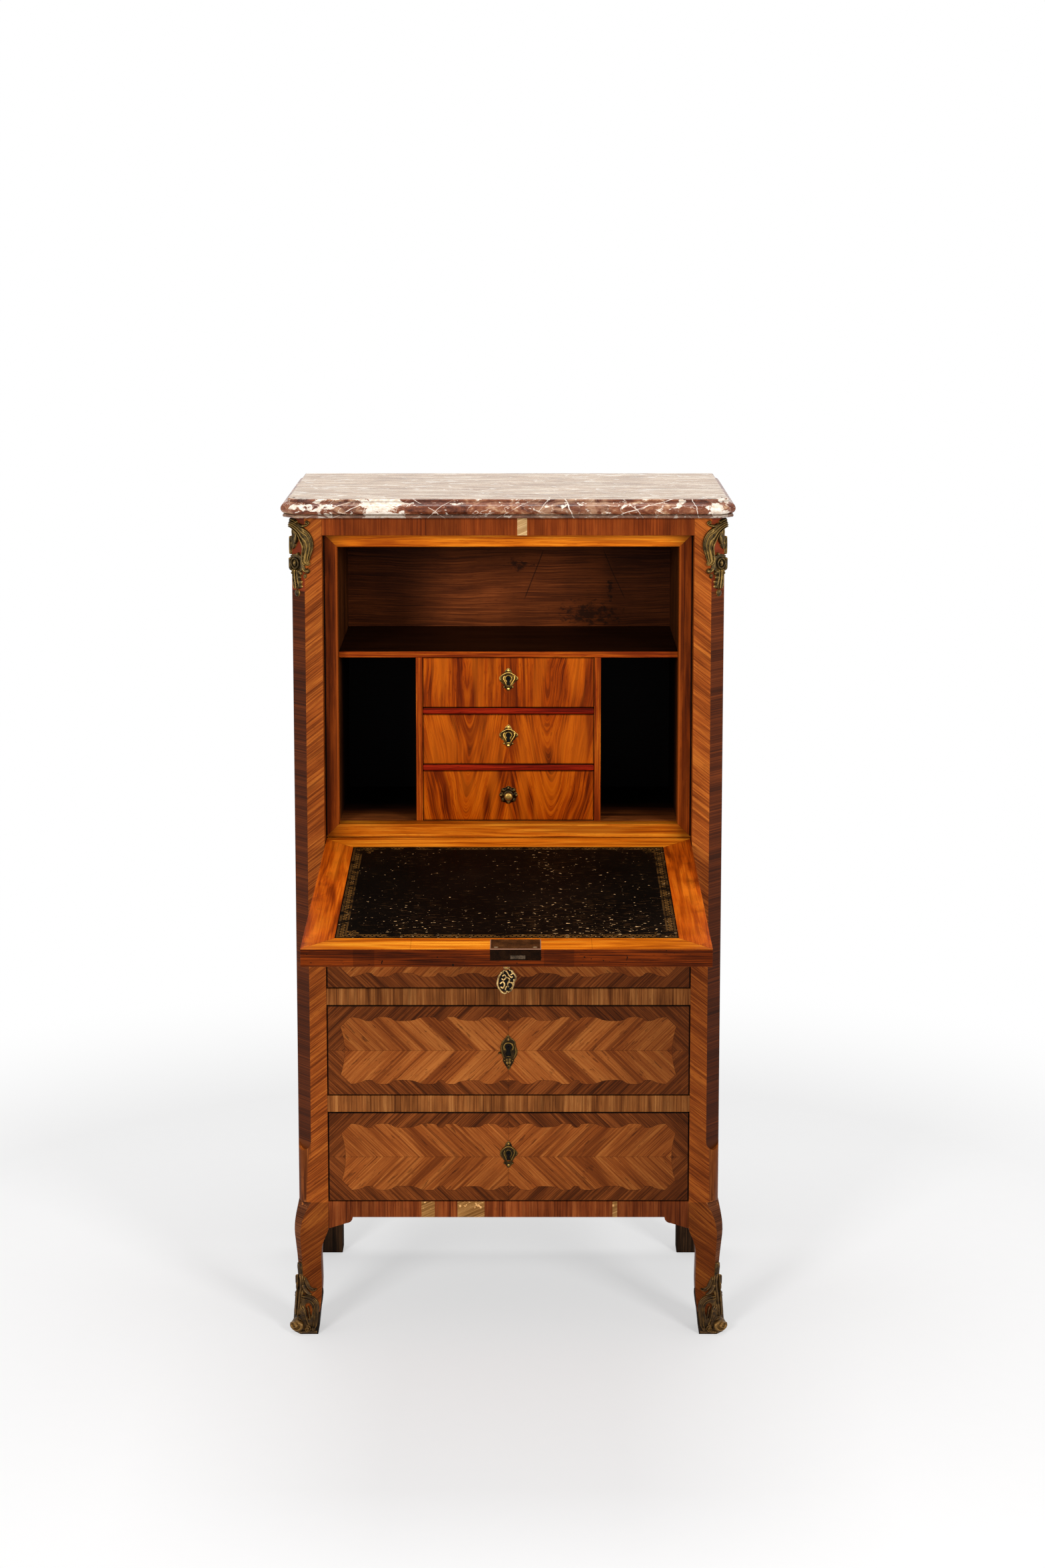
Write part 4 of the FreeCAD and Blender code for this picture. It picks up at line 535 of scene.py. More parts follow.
# Painted highlight: a bright strip along the rounded inner edge of the upright strips.
arris = from_side.over(FRAME_WIDE - 0.0035, FRAME_WIDE - 0.0015)
stand = strip.mix(arris * 0.7, stand, (150, 70, 18))
uprightness = (from_end - from_side).over(-0.0002, 0.0002)
stand = strip.shade(stand, from_side.over(SHADOW_GAP - 0.0006, SHADOW_GAP) * 0.94 + 0.06)
tint = strip.mix(uprightness, flat, stand)
seam = abs(from_end - from_side).over(0.0001, 0.0006)
strip.surface(strip.shade(tint, seam * 0.4 + 0.6), blotch * 0.2 + 0.25, flat_height).cover("stop_frame")
soften(0.0008, "stop_frame")

# Nest: walls, back, floor, shelf, dividers and blades, slid in as one and edged in brighter wood.
# Thin dark-stained boards, with painted shade deep in the pigeonholes; the back of the upper part shows a
# board with stains and slanting cracks.
SHELF_Z = 1.05
NEST = ((34, 14, 4), (72, 34, 11), (104, 56, 23))


def pigeonhole_shade(finish):
    """Painted shade: 1 above the shelf and at the front edges; below the shelf it falls to 0 towards the
    back.
    """
    near = finish.y.under(0.11, 0.25)
    return finish.z.over(SHELF_Z - 0.001, SHELF_Z + 0.001).most(near * near)


def nest_wood(name, way, edge, tone):
    """Dark boards with their grain along x or z, whose front edges show a brighter wood."""
    stuff = Finish(name)
    along, across, deep = stuff.grain(way)
    tint, height = stuff.wood(along, across, deep, NEST, 3.0)
    edging, _ = stuff.wood(along, across, 0.0, edge, 2.0)
    facing = (0.0 - stuff.ny).over(0.3, 0.6)
    grime = stuff.mottle(16.0, 4.0)
    # Painted shade: tone sets each part's painted light, and below the shelf the boards fade nearly to
    # black towards the back.
    tint = stuff.shade(tint, (grime * 0.8 + 0.55) * (pigeonhole_shade(stuff) * tone + 0.015))
    tint = stuff.mix(facing, tint, edging)
    return stuff.surface(tint, grime * 0.2 + 0.36, height, 0.0002)


EDGE = ((93, 27, 2), (152, 60, 6), (185, 95, 17))
RED_EDGE = ((60, 7, 1), (115, 19, 3), (154, 36, 7))
# Each part's tone is its painted light: brightest on the floor's lit front, darkest on the shelf, dividers
# and blades in shade.
for tag, way, edge, tone in (("walls", "z", EDGE, 0.9), ("dividers", "z", EDGE, 0.3),
                             ("shelf", "x", EDGE, 0.22), ("floor", "x", EDGE, 3.4),
                             ("blades", "x", RED_EDGE, 0.3)):
    nest_wood("nest " + tag, way, edge, tone).cover("nest_" + tag)
rear_board = Finish("nest back")
warp = rear_board.noise(rear_board.x * 5.0, rear_board.z * 6.0, 0.0, 2.0) * 0.02
tint, height = rear_board.wood(rear_board.x, rear_board.z + warp, 0.0,
                               ((62, 26, 8), (92, 42, 14), (118, 58, 23)), 6.0, 0.25, 0.3)
ragged = rear_board.noise(rear_board.x * 90.0, rear_board.z * 130.0, 1.0, 4.0, 0.65)
# Stains: (x, z, half width, half height) of dark ragged blotches.
STAINS = (0.0175, 1.153, 0.018, 0.008), (0.128, 1.074, 0.045, 0.018), (0.16, 1.115, 0.005, 0.016)
for stain_x, stain_z, stain_wide, stain_tall in STAINS:
    away_x = (rear_board.x - stain_x) * (1.0 / stain_wide)
    away_z = (rear_board.z - stain_z) * (1.0 / stain_tall)
    away = away_x.reach(away_z) + (ragged - 0.5) * 5.0
    tint = rear_board.mix(away.under(0.2, 1.1) * 0.8, tint, (30, 15, 8))
crack = rear_board.noise(rear_board.x * 3.0, rear_board.z * 3.0, 2.0, 3.0)
for foot_x, lean, wide in ((0.0228, 0.41, 0.0005), (0.182, -0.43, 0.0004)):
    line = abs(rear_board.x - foot_x - (rear_board.z - 1.1) * lean - (crack - 0.5) * 0.02)
    span = rear_board.z.over(1.095, 1.105) * rear_board.z.under(1.168, 1.18)
    tint = rear_board.mix(line.under(wide, wide * 2.4) * span * 0.7, tint, (20, 9, 4))
# Painted light and shadow: the upper back is brighter in the middle, where both lamps reach, and darker at
# the top, in the shadow of the frame's head.
lamp_pool = rear_board.x.over(-0.16, -0.08) * rear_board.x.under(0.13, 0.17)
tint = rear_board.shade(tint, (lamp_pool * 0.62 + 0.5) * (1.0 - rear_board.z.over(1.14, 1.2) * 0.4))
# Painted shade: below the shelf the back fades nearly to black.
cloudy = rear_board.noise(rear_board.x * 14.0, rear_board.z * 14.0, 5.0, 4.0)
tint = rear_board.shade(tint, (cloudy * 1.1 + 0.5) * (pigeonhole_shade(rear_board) * 0.98 + 0.02))
rear_board.surface(tint, crack * 0.2 + 0.4, height, 0.0003).cover("nest_back")
soften(0.0008, "nest_shelf", "nest_dividers")
soften(0.0032, "nest_blades")

# Small drawers of the nest: fronts in orange book-matched veneer with flame figure, plain oak boxes.
# The halves mirror about the middle; streaks stand upright, and flames open towards the top of each half.
FLAME_HEART = 0.062
for tag, seed, lean in (("upper", 1.0, 0.03), ("middle", 4.0, 0.16), ("lower", 8.0, 0.24)):
    low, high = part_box("nest_%s_drawer_front" % tag)
    flame = Finish("small drawer veneer " + tag)
    apart = abs(flame.x)
    half_side = flame.x.math("SIGN") * 0.0011
    sway = flame.noise(apart * 7.0, flame.z * 5.0, half_side * 900.0 + seed, 2.0) - 0.5
    heart_off = apart - FLAME_HEART + sway * 0.03
    fan = (heart_off * heart_off + 0.00008).math("SQRT") - (flame.z - low[2]) * lean
    across = fan * 0.7 + sway * 0.012
    tint, height = flame.wood(flame.z, across, half_side + seed,
                              ((80, 23, 1), (150, 57, 1), (184, 86, 6)), seed, 0.45, 0.5, 0.85)
    blaze = flame.noise(across * 75.0, flame.z * 5.0, half_side * 300.0 + (seed + 4.0), 3.0, 0.6, 0.3)
    tint = flame.mix(blaze.over(0.5, 0.7) * 0.7, tint, (88, 23, 1))
    glow = flame.noise(apart * 34.0, flame.z * 4.0, seed + 9.0, 2.0).over(0.5, 0.7)
    tint = flame.mix(glow * 0.5, tint, (192, 92, 9))
    middle_joint = apart.over(0.0001, 0.0005)
    # Painted shade: the front darkens towards its edges, for the shadow in the gap round it.
    rim = (high[0] - apart).least((high[2] - flame.z).least(flame.z - low[2])).over(0.0004, 0.0022)
    tint = flame.shade(tint, (middle_joint * 0.35 + 0.65) * (rim * 0.6 + 0.4))
    flame.surface(tint, sway * 0.3 + 0.3, height).cover("nest_%s_drawer_front" % tag)
    soften(0.0012, "nest_%s_drawer_front" % tag)

# The boxes behind the fronts, and behind those of the large drawers below, are of pale dusty oak.
drawer_lining = Finish("drawer linings")
tint, height = drawer_lining.wood(*drawer_lining.grain("y"),
                                  ((74, 50, 28), (122, 88, 54), (158, 120, 78)), 2.0, 0.5)
dust = drawer_lining.mottle(9.0, 4.0)
drawer_lining.surface(drawer_lining.shade(tint, dust * 0.7 + 0.6), dust * 0.2 + 0.6, height, 0.0004,
                      gloss=0.5)
drawer_lining.cover(*("nest_%s_drawer_box" % tag for tag in ("upper", "middle", "lower")))

# Fall: a board hinged at its foot, shown open; it swings up to close the opening.
# Golden mitred borders round the leather, a brown edge with worm holes, and drawer-like marquetry outside.
PIVOT_Y = 0.0775
PIVOT_Z = 0.7585
SAG = radians(3.0)
FALL_REACH = 0.4773
FALL_HALF = 0.2743
FALL_HALF_THICK = 0.0125
CUT_LEFT, CUT_RIGHT = -0.128, 0.114
FRONT_BORDER = 0.044
PLUG_LEFT, PLUG_RIGHT = -0.19, 0.07


def fall_place(finish):
    """Distance from the hinge along the fall, and height above its middle."""
    away = PIVOT_Y - finish.y
    rise = finish.z - PIVOT_Z
    return away * cos(SAG) - rise * sin(SAG), rise * cos(SAG) + away * sin(SAG)


# The field's scalloped edge: (share of the half width from the middle, share of the wave's height).
SCALLOP = [(0.0, 0.0), (0.05, 0.22), (0.102, 1.0), (0.15, 0.4), (0.19, 0.08), (0.28, 0.55),
           (0.311, 1.0), (0.35, 0.75), (0.377, 0.0), (0.4, 0.7), (0.448, 1.0), (0.5, 0.6), (0.592, 0.0),
           (0.64, 0.35), (0.7, 1.0), (0.75, 0.3), (0.77, 0.0), (0.8, 0.2), (0.89, 1.0), (1.0, 1.0)]
WAVE_TALL = 0.0064
TOP_BORDER = 0.0234
END_BORDER = 0.0255
END_BORDER_LEAST = 0.0195
END_BULGE = 0.0055 / (0.036 * 0.036)
CORNER_CUT = 0.052


def marquetry(finish, apart, upright, half, tall, seed, chance):
    """Slanted veneer, mirrored about both middles, in a field with scalloped edges inside a darker border.

    apart and upright are distances from the middle, half and tall the panel's half width and height;
    chance differs a little from quarter to quarter, so that they match but are not the same.
    """
    wave = finish.tree.nodes.new("ShaderNodeFloatCurve")
    put(wave.inputs["Value"], apart * (1.0 / half))
    bend = wave.mapping.curves[0]
    for place, lift in SCALLOP[1:-1]:
        bend.points.new(place, lift)
    bend.points[0].location = SCALLOP[0]
    bend.points[len(SCALLOP) - 1].location = SCALLOP[-1]
    wave.mapping.update()
    top = Wire(wave.outputs[0]) * WAVE_TALL + (tall - TOP_BORDER)
    end = (half - END_BORDER) + (upright * upright) * END_BULGE
    end = end.least(half - END_BORDER_LEAST)
    inside = (top - upright).least(end - apart).least((half + tall - CORNER_CUT) - apart - upright)
    along, across = slanted(apart, upright, 45)
    field, height = finish.wood(along, across, chance, FIELD, seed, 0.7, 0.5, 0.75)
    fleck = finish.noise(along * 45.0, across * 260.0, chance * 900.0 + seed, 2.0).over(0.63, 0.7)
    field = finish.mix(fleck * 0.55, field, BORDER[0])
    along, across = slanted(apart, upright * -1.0, 45)
    border, _ = finish.wood(along, across, chance, BORDER, seed + 5.0, 0.5, 0.4, 0.85)
    quarter = finish.noise(apart * 9.0, upright * 9.0, chance * 900.0 + seed, 3.0)
    tint = finish.mix(inside.over(-0.0002, 0.0002), border, field)
    joint = abs(inside).least(apart).least(upright).over(0.0001, 0.0006)
    speck = finish.noise(apart * 420.0, upright * 420.0, seed, 2.0).over(0.7, 0.74)
    tint = finish.shade(tint, (joint * 0.4 + 0.6) * (quarter * 0.6 + 0.7) * (1.0 - speck * 0.6))
    return tint, height, quarter


low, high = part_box("writing_leather")
LEATHER_HALF = float(high[0])
LEATHER_NEAR = 0.0265
LEATHER_FAR = 0.4335
LEATHER_THICK = 0.0006
fall = Finish("fall")
away, rise = fall_place(fall)
beside = FALL_HALF - abs(fall.x)
ahead = FALL_REACH - away
flat, flat_height = fall.wood(fall.x, away, 0.0, GOLD, 2.0, 0.6, 0.7, 0.6)
stand, _ = fall.wood(away, fall.x, 0.0, ((112, 38, 2), (178, 74, 6), (208, 104, 17)), 5.0, 0.5, 0.8, 0.55)
blotch = fall.mottle(30.0, 4.0)
stand = fall.shade(stand, blotch * 0.6 + 0.7)
smoke = fall.noise(fall.x * 22.0, fall.y * 14.0, 4.0, 4.0, 0.6, 0.8).over(0.5, 0.68)
smoke = smoke * beside.under(0.004, 0.03)
stand = fall.mix(smoke * 0.75, stand, (92, 28, 2))
lit = (away.over(0.2, 0.3) * -0.22 + 1.2) * (abs(fall.x).over(0.12, 0.25) * -0.12 + 1.06)
flat = fall.shade(flat, lit)
from_end = ahead.least(away + FALL_HALF_THICK)
at_side = (from_end - beside).over(-0.0002, 0.0002)
tint = fall.mix(at_side, flat, stand)
cuts = abs(fall.x - CUT_LEFT).least(abs(fall.x - CUT_RIGHT)).most(ahead - FRONT_BORDER)
seams = abs(from_end - beside).least(cuts).over(0.0001, 0.0006)
tint = fall.shade(tint, seams * 0.4 + 0.6)
edge_wood, _ = fall.wood(fall.x, rise, 0.0, ((37, 9, 1), (81, 28, 2), (117, 46, 5)), 3.0)
worm = fall.mottle(190.0, 1.0).over(0.72, 0.76)
edge_wood = fall.mix(worm, edge_wood, (14, 7, 3))
patch = abs(fall.x - PLUG_RIGHT).over(0.02, 0.0203).least(abs(fall.x - PLUG_LEFT).over(0.014, 0.0143))
edge_wood = fall.shade(edge_wood, patch * 0.3 + 0.7)
middle = (FALL_REACH - FALL_HALF_THICK) / 2
quarters = fall.x.math("SIGN") * 0.0006 + (away - middle).math("SIGN") * 0.0003
outside, _, _ = marquetry(fall, abs(fall.x), abs(away - middle), FALL_HALF,
                          (FALL_REACH + FALL_HALF_THICK) / 2, 2.0, quarters)
upper_face = rise.over(FALL_HALF_THICK - 0.0006, FALL_HALF_THICK - 0.0003)
lower_face = (rise * -1.0).over(FALL_HALF_THICK - 0.0006, FALL_HALF_THICK - 0.0003)
tint = fall.mix(upper_face, edge_wood, tint)
tint = fall.mix(lower_face, tint, outside)
fall.surface(tint, blotch * 0.2 + 0.24, flat_height).cover("fall_panel")
soften(0.001, "fall_panel")

# Writing leather: a thin skin glued flush into the fall.
# Black, scuffed to tan flecks along the fibres of the wood below, with worn gilt tooling round its edge.
GILT_FILLETS = (0.0022, 0.0038, 0.0132, 0.0146)
GILT_MIDDLE = 0.0085
GILT_SWING = 0.0026
GILT_REPEAT = 0.0105
GILT_CORNER = 0.023
leather = Finish("black leather")
away, rise = fall_place(leather)
edge_x = LEATHER_HALF - abs(leather.x)
edge_s = (away - LEATHER_NEAR).least(LEATHER_FAR - away)
edge = edge_x.least(edge_s)
run = leather.x + (away - leather.x) * (edge_s - edge_x).over(-0.0001, 0.0001)
hide = leather.mottle(600.0, 3.0)
tone = leather.mottle(9.0, 4.0)
tint = leather.ramp(tone * 0.7 + hide * 0.3, (0.3, (3, 2, 1)), (0.55, (8, 5, 3)), (0.75, (16, 10, 6)))
heavy = leather.noise(leather.x * 6.0 + 3.0, away * 6.0, 1.0, 3.0)
heavy = (heavy - 0.5) * 0.2 + leather.x.over(-0.2, 0.24) * 0.012 + away.over(0.1, 0.42) * 0.034
scratch = (leather.noise(leather.x * 45.0, away * 480.0, 6.0, 3.0, 0.65) + heavy).over(0.62, 0.7)
tint = leather.mix(scratch * 0.4, tint, (96, 64, 36))
fleck = leather.noise(leather.x * 115.0, away * 250.0, 3.0, 3.0, 0.6)
scuff = (fleck + heavy * 0.9).over(0.693, 0.723)
tint = leather.mix(scuff * 0.95, tint, (222, 176, 122))
wave = (run * (2.0 * pi / GILT_REPEAT)).math("SINE")
scroll = abs(edge - GILT_MIDDLE - wave * GILT_SWING).under(0.0005, 0.0013)
bead = abs((run * (2.0 / GILT_REPEAT)).math("FRACT") - 0.5).over(0.18, 0.3)
dots = abs(edge - GILT_MIDDLE + wave * GILT_SWING).under(0.0009, 0.0016) * bead
fillet_gap = abs(edge - GILT_FILLETS[0])
for fillet in GILT_FILLETS[1:]:
    fillet_gap = fillet_gap.least(abs(edge - fillet))
fillets = fillet_gap.under(0.0002, 0.0006)
corner_x = edge_x - GILT_CORNER
corner_s = edge_s - GILT_CORNER
spray = corner_x.reach(corner_s)
turn = corner_x.math("ARCTAN2", corner_s)
leaf = abs(spray - 0.005 - (turn * 4.0).math("SINE") * 0.003).under(0.0008, 0.0018)
gilt = scroll.most(dots).most(fillets).most(leaf)
wear_and_sheen = leather.noise(leather.x * 50.0, leather.y * 50.0, leather.z * 50.0 + 5.0, 4.0).over(0.36, 0.56)
tint = leather.mix(gilt * wear_and_sheen * (0.72 - fillets * 0.3), tint, (132, 90, 42))
leather.surface(tint, hide * 0.3 + 0.36, hide * 0.4 - gilt * 0.5 + scuff * 0.3, 0.0003, gloss=0.01)
across_skin = np.linspace(-LEATHER_HALF, LEATHER_HALF, 121)
down_skin = np.linspace(LEATHER_NEAR, LEATHER_FAR, 101)


def leather_skin(lift):
    """The skin over width and distance from the hinge, with slow hollows a fifth of a millimetre deep."""
    wide, far = np.meshgrid(across_skin, down_skin)
    ripple = 0.0001 * (np.sin(wide * 31.0 + far * 17.0) + np.sin(far * 43.0 - wide * 11.0))
    tall = FALL_HALF_THICK + lift + ripple - 0.0002
    y = PIVOT_Y - far * cos(SAG) + tall * -sin(SAG)
    z = PIVOT_Z - far * sin(SAG) + tall * cos(SAG)
    return np.stack([wide, y, z], axis=-1)


upper_skin = leather_skin(0.0)
lower_skin = leather_skin(-LEATHER_THICK)


def rim_of(points):
    """The points round the edge of a grid, once about."""
    return np.concatenate([points[0, :-1], points[:-1, -1], points[-1, :0:-1], points[:0:-1, 0]])


edge_band = skin(np.stack([rim_of(upper_skin), rim_of(lower_skin)]), around=True)
hide_piece = piece("leather_skin", [skin(upper_skin[::-1]), skin(lower_skin), edge_band],
                   "fall", "leather", leather, "writing_leather")

# Locks, bolts, pivot pins and sockets: brass cases gone brown, steel bolts.
# The fall's lock plate lies flush in the border: dark, with bright worn edges.
def metal(name, dark, middle, bright, rough):
    """Worn metal: tarnish in clouds, brighter where it is rubbed, with fine scratches in its surface."""
    made = Finish(name)
    cloud = made.mottle(60.0, 4.0, 0.6)
    fine = made.mottle(900.0, 3.0)
    tint = made.ramp(cloud * 0.7 + fine * 0.3, (0.35, dark), (0.5, middle), (0.66, bright))
    return made.surface(tint, cloud * 0.3 + rough, fine + cloud, 0.0001, gloss=0.5, metallic=0.85)


brown_brass = metal("brown brass", (31, 16, 5), (62, 35, 13), (102, 63, 26), 0.3)
brown_brass.cover("pivot_sockets", *(tag + "_drawer_lock" for tag in ("top", "middle", "bottom")))
PLATE_LEFT, PLATE_RIGHT = -0.022, 0.046
SCREW_IN = 0.008
SCREW_Y = -0.393
lock_plate = Finish("lock plate")
cloud = lock_plate.mottle(70.0, 4.0, 0.6)
fine = lock_plate.mottle(700.0, 3.0)
tint = lock_plate.ramp(cloud * 0.6 + fine * 0.4, (0.38, (46, 25, 9)), (0.5, (74, 41, 17)),
                       (0.64, (102, 62, 30)))
away, rise = fall_place(lock_plate)
on_top = rise.over(FALL_HALF_THICK - 0.001, FALL_HALF_THICK - 0.0006)
tint = lock_plate.shade(tint, on_top * 0.58 + 0.12)
from_end = (lock_plate.x - PLATE_LEFT).least(PLATE_RIGHT - lock_plate.x)
arris = on_top * away.over(FALL_REACH - 0.0022, FALL_REACH - 0.001).most(from_end.under(0.0006, 0.0013))
tint = lock_plate.mix(arris * 0.75, tint, (160, 116, 92))
for screw_x in (PLATE_LEFT + SCREW_IN, PLATE_RIGHT - SCREW_IN):
    off_x = lock_plate.x - screw_x
    off_y = lock_plate.y - SCREW_Y
    screw = off_x.reach(off_y).under(0.0026, 0.0032)
    tint = lock_plate.mix(screw * 0.7, tint, (138, 112, 84))
lock_plate.surface(tint, cloud * 0.3 + 0.36, fine, 0.0001, gloss=0.03).cover("fall_lock")
soften(0.0009, "fall_lock")
steel = metal("old steel", (38, 29, 21), (72, 57, 43), (112, 92, 70), 0.45)
steel.cover("pivot_pins", "fall_bolt", "nest_upper_drawer_bolt", "nest_middle_drawer_bolt",
            *(tag + "_drawer_bolt" for tag in ("top", "middle", "bottom")))

# Large drawers: fronts with slanted matched veneer in a scalloped field inside a darker border.
# Oak boxes behind; each front closes between the posts and rails with a fine gap.
for tag, seed in (("top", 1.0), ("middle", 3.5), ("bottom", 6.0)):
    low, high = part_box(tag + "_drawer_front")
    front = Finish("drawer marquetry " + tag)
    middle_z = (low[2] + high[2]) / 2
    up = front.z - middle_z
    quarters = front.x.math("SIGN") * 0.0006 + up.math("SIGN") * 0.0003
    tint, height, quarter = marquetry(front, abs(front.x), abs(up), high[0], (high[2] - low[2]) / 2,
                                      seed, quarters)
    # Painted shade: the front darkens towards its edges, for the shadow in the gap round it, and towards
    # the lower right.
    gap_shade = (high[0] - abs(front.x)).least((high[2] - low[2]) / 2 - abs(up)).over(0.0003, 0.0017)
    tint = front.shade(tint, (gap_shade * 0.85 + 0.15) * lower_right_shade(front))
    facing = (0.0 - front.ny).over(0.5, 0.7)
    bare, _ = front.wood(front.x, front.z, front.y, OAK, 1.0)
    front.surface(front.mix(facing, bare, tint), quarter * 0.2 + 0.28, height).cover(
        tag + "_drawer_front")
    drawer_lining.cover(tag + "_drawer_box")
    soften(0.0008, tag + "_drawer_front")

# Corner mounts: bronzes on the upper corners, cast, chased and once gilt, held by small pins.
# A feathered leaf sweeps round a pierced opening to a volute, over an oval boss and a hanging leaf drop;
# dark in the hollows, and bright where it stands proud, as rubbed gilt with a painted highlight.
def round_ends(count):
    """1 along a bar, falling to 0 like a quarter circle at each end, for rounded tips."""
    near = np.clip(np.minimum(np.arange(count), np.arange(count)[::-1]) / (0.07 * count), 0, 1)
    return np.sqrt(1 - (1 - near) ** 2)


def swept(across, up, side, height):
    """A section carried along a flat curve: side is laid off square to the curve, height stands on it."""
    step_across, step_up = np.gradient(across), np.gradient(up)
    length = np.hypot(step_across, step_up) + 1e-9
    return np.stack([across[:, None] - (step_up / length)[:, None] * side,
                     up[:, None] + (step_across / length)[:, None] * side, height], axis=-1)


def raised(rows, heights):
    """Rows of flat points, each row at its own height."""
    lift = np.array(heights)[:, None, None]
    return np.concatenate([rows, np.broadcast_to(lift, rows.shape[:2] + (1,))], axis=2)


def scroll(path, lobes=0, ridges=0, count=56, closed=False):
    """A raised scroll on flat ground: half an ellipse carried along a smooth curve, with rounded tips.

    path has (across, up, half width, height) in millimetres; lobes notch its edges, ridges line its back.
    """
    across, up, half, height = curve(path, count).T
    swell = np.abs(np.sin(np.linspace(0, pi * lobes, count))) if lobes else np.ones(count)
    tip = 1.0 if closed else round_ends(count)
    half = half * (0.68 + 0.32 * swell) * tip
    height = height * (0.8 + 0.2 * swell) * tip
    turn = np.linspace(0, pi, 17)
    crest = np.sin(turn) ** 0.7 * (1 - 0.16 * (1 - np.cos(2 * ridges * turn)) * np.sin(turn))
    return swept(across, up, half[:, None] * np.cos(turn), height[:, None] * crest)


def even(across, up, half, height):
    """A path for a scroll that has one half width and one height all along."""
    return np.stack([across, up, np.full(len(up), half), np.full(len(up), height)], axis=1)


def rib(path, share, half, height):
    """A thin scroll that lies on a broad one, at a share of the broad one's half width to one side."""
    across, up, wide, _ = curve(path, 56).T
    step_across, step_up = np.gradient(across), np.gradient(up)
    aside = wide * share / (np.hypot(step_across, step_up) + 1e-9)
    return scroll(even(across - step_up * aside, up + step_across * aside, half, height), count=70)


def volute(across, up, radius, half, height):
    """A scroll wound up: it turns round a middle while its distance from it shrinks and its back rises."""
    share = np.linspace(0, 1, 40)
    turn = pi / 2 - share * 3.4 * pi
    reach = radius * (1 - 0.82 * share)
    return scroll(np.stack([across + reach * np.cos(turn), up + reach * np.sin(turn),
                            half * (1 - 0.4 * share), height * (1 + 0.3 * share)], axis=1), count=90)


def boss(across, up, wide, tall, height):
    """A dome over an ellipse: half an ellipsoid, from the middle of its foot out and up to its crown."""
    turn = np.linspace(0, 2 * pi, 25)[None, :]
    rise = np.concatenate([[pi / 2], np.linspace(0, pi / 2, 8)])[:, None]
    lift = np.concatenate([[0], np.full(8, height)])[:, None]
    return np.stack([across + wide * np.cos(rise) * np.cos(turn), up + tall * np.cos(rise) * np.sin(turn),
                     lift * np.sin(rise) * np.ones_like(turn)], axis=-1)


def ring(across, up, wide, tall, half, height):
    """A raised rim round an ellipse: half an ellipse carried round it."""
    turn = np.linspace(0, 2 * pi, 33)
    path = even(across + wide * np.cos(turn), up + tall * np.sin(turn), half, height)
    return scroll(path, count=65, closed=True)


def arch(wide, half, height):
    """A raised rim round a round hole, open at its foot: half an ellipse carried round it."""
    turn = np.linspace(-pi * 0.27, pi * 1.27, 25)
    return scroll(even(wide * np.cos(turn), wide * np.sin(turn), half, height))


def plate(edge, hole, thickness):
    """A ground plate: rules from the hole's loop to the outer loop, crowned between, and back below."""
    inner = curve(hole, 96, closed=True)
    outer = curve(edge, 96, closed=True)
    share = np.array([0, 0, 0.04, 0.2, 0.5, 0.8, 0.95, 1, 1, 0])[:, None, None]
    height = thickness * np.array([0, 0.9, 1.1, 1.2, 1.2, 1.1, 0.9, 0.6, 0, 0])
    flat = inner[None] * (1 - share) + outer[None] * share
    return raised(flat, height)


def on_front(points, face_y, middle_z):
    """Places flat work on an upright face: across to x, up to z and height towards the front."""
    return np.stack([points[..., 0] / 1000, face_y - points[..., 2] / 1000,
                     middle_z + points[..., 1] / 1000], axis=-1)


DIAGONAL = 1.4142136
HALF_DIAGONAL = 0.7071068


def round_corner(points, base_z, swell, cant):
    """Bends flat work round the left front corner of a post: straight over each face and the cant between.

    swell is how far the faces stand out from the post's, and cant the canted corner's reach along each.
    """
    over, height = points[..., 0], points[..., 2]
    half = cant * HALF_DIAGONAL
    x = np.where(over > half, cant + over - half, (cant + over * DIAGONAL) / 2)
    x = np.where(over < -half, 0.0, x)
    y = np.where(over < -half, cant - over - half, (cant - over * DIAGONAL) / 2)
    y = np.where(over > half, 0.0, y)
    lean = (np.clip((half + 3 - over) / 6, 0, 1) + np.clip((3 - half - over) / 6, 0, 1)) * pi / 4
    x = -HALF_WIDTH * 1000 - swell + x - height * np.sin(lean)
    y = FRONT_Y * 1000 - swell + y - height * np.cos(lean)
    return np.stack([x, y, base_z + points[..., 1]], axis=-1) / 1000


def both_sides(name, grids, bend, finish, *node):
    """The left piece, bent into place, and its mirror image, whose faces are turned back outwards."""
    left = [skin(bend(grid), around=True, height=grid[..., 2]) for grid in grids]
    right = [(points * np.array([-1, 1, 1]), faces, relief) for points, faces, relief in left]
    piece("left_" + name, left, "case", "bronze", finish, *node)
    piece("right_" + name, right, "case", "bronze", finish, *node, flip=True)


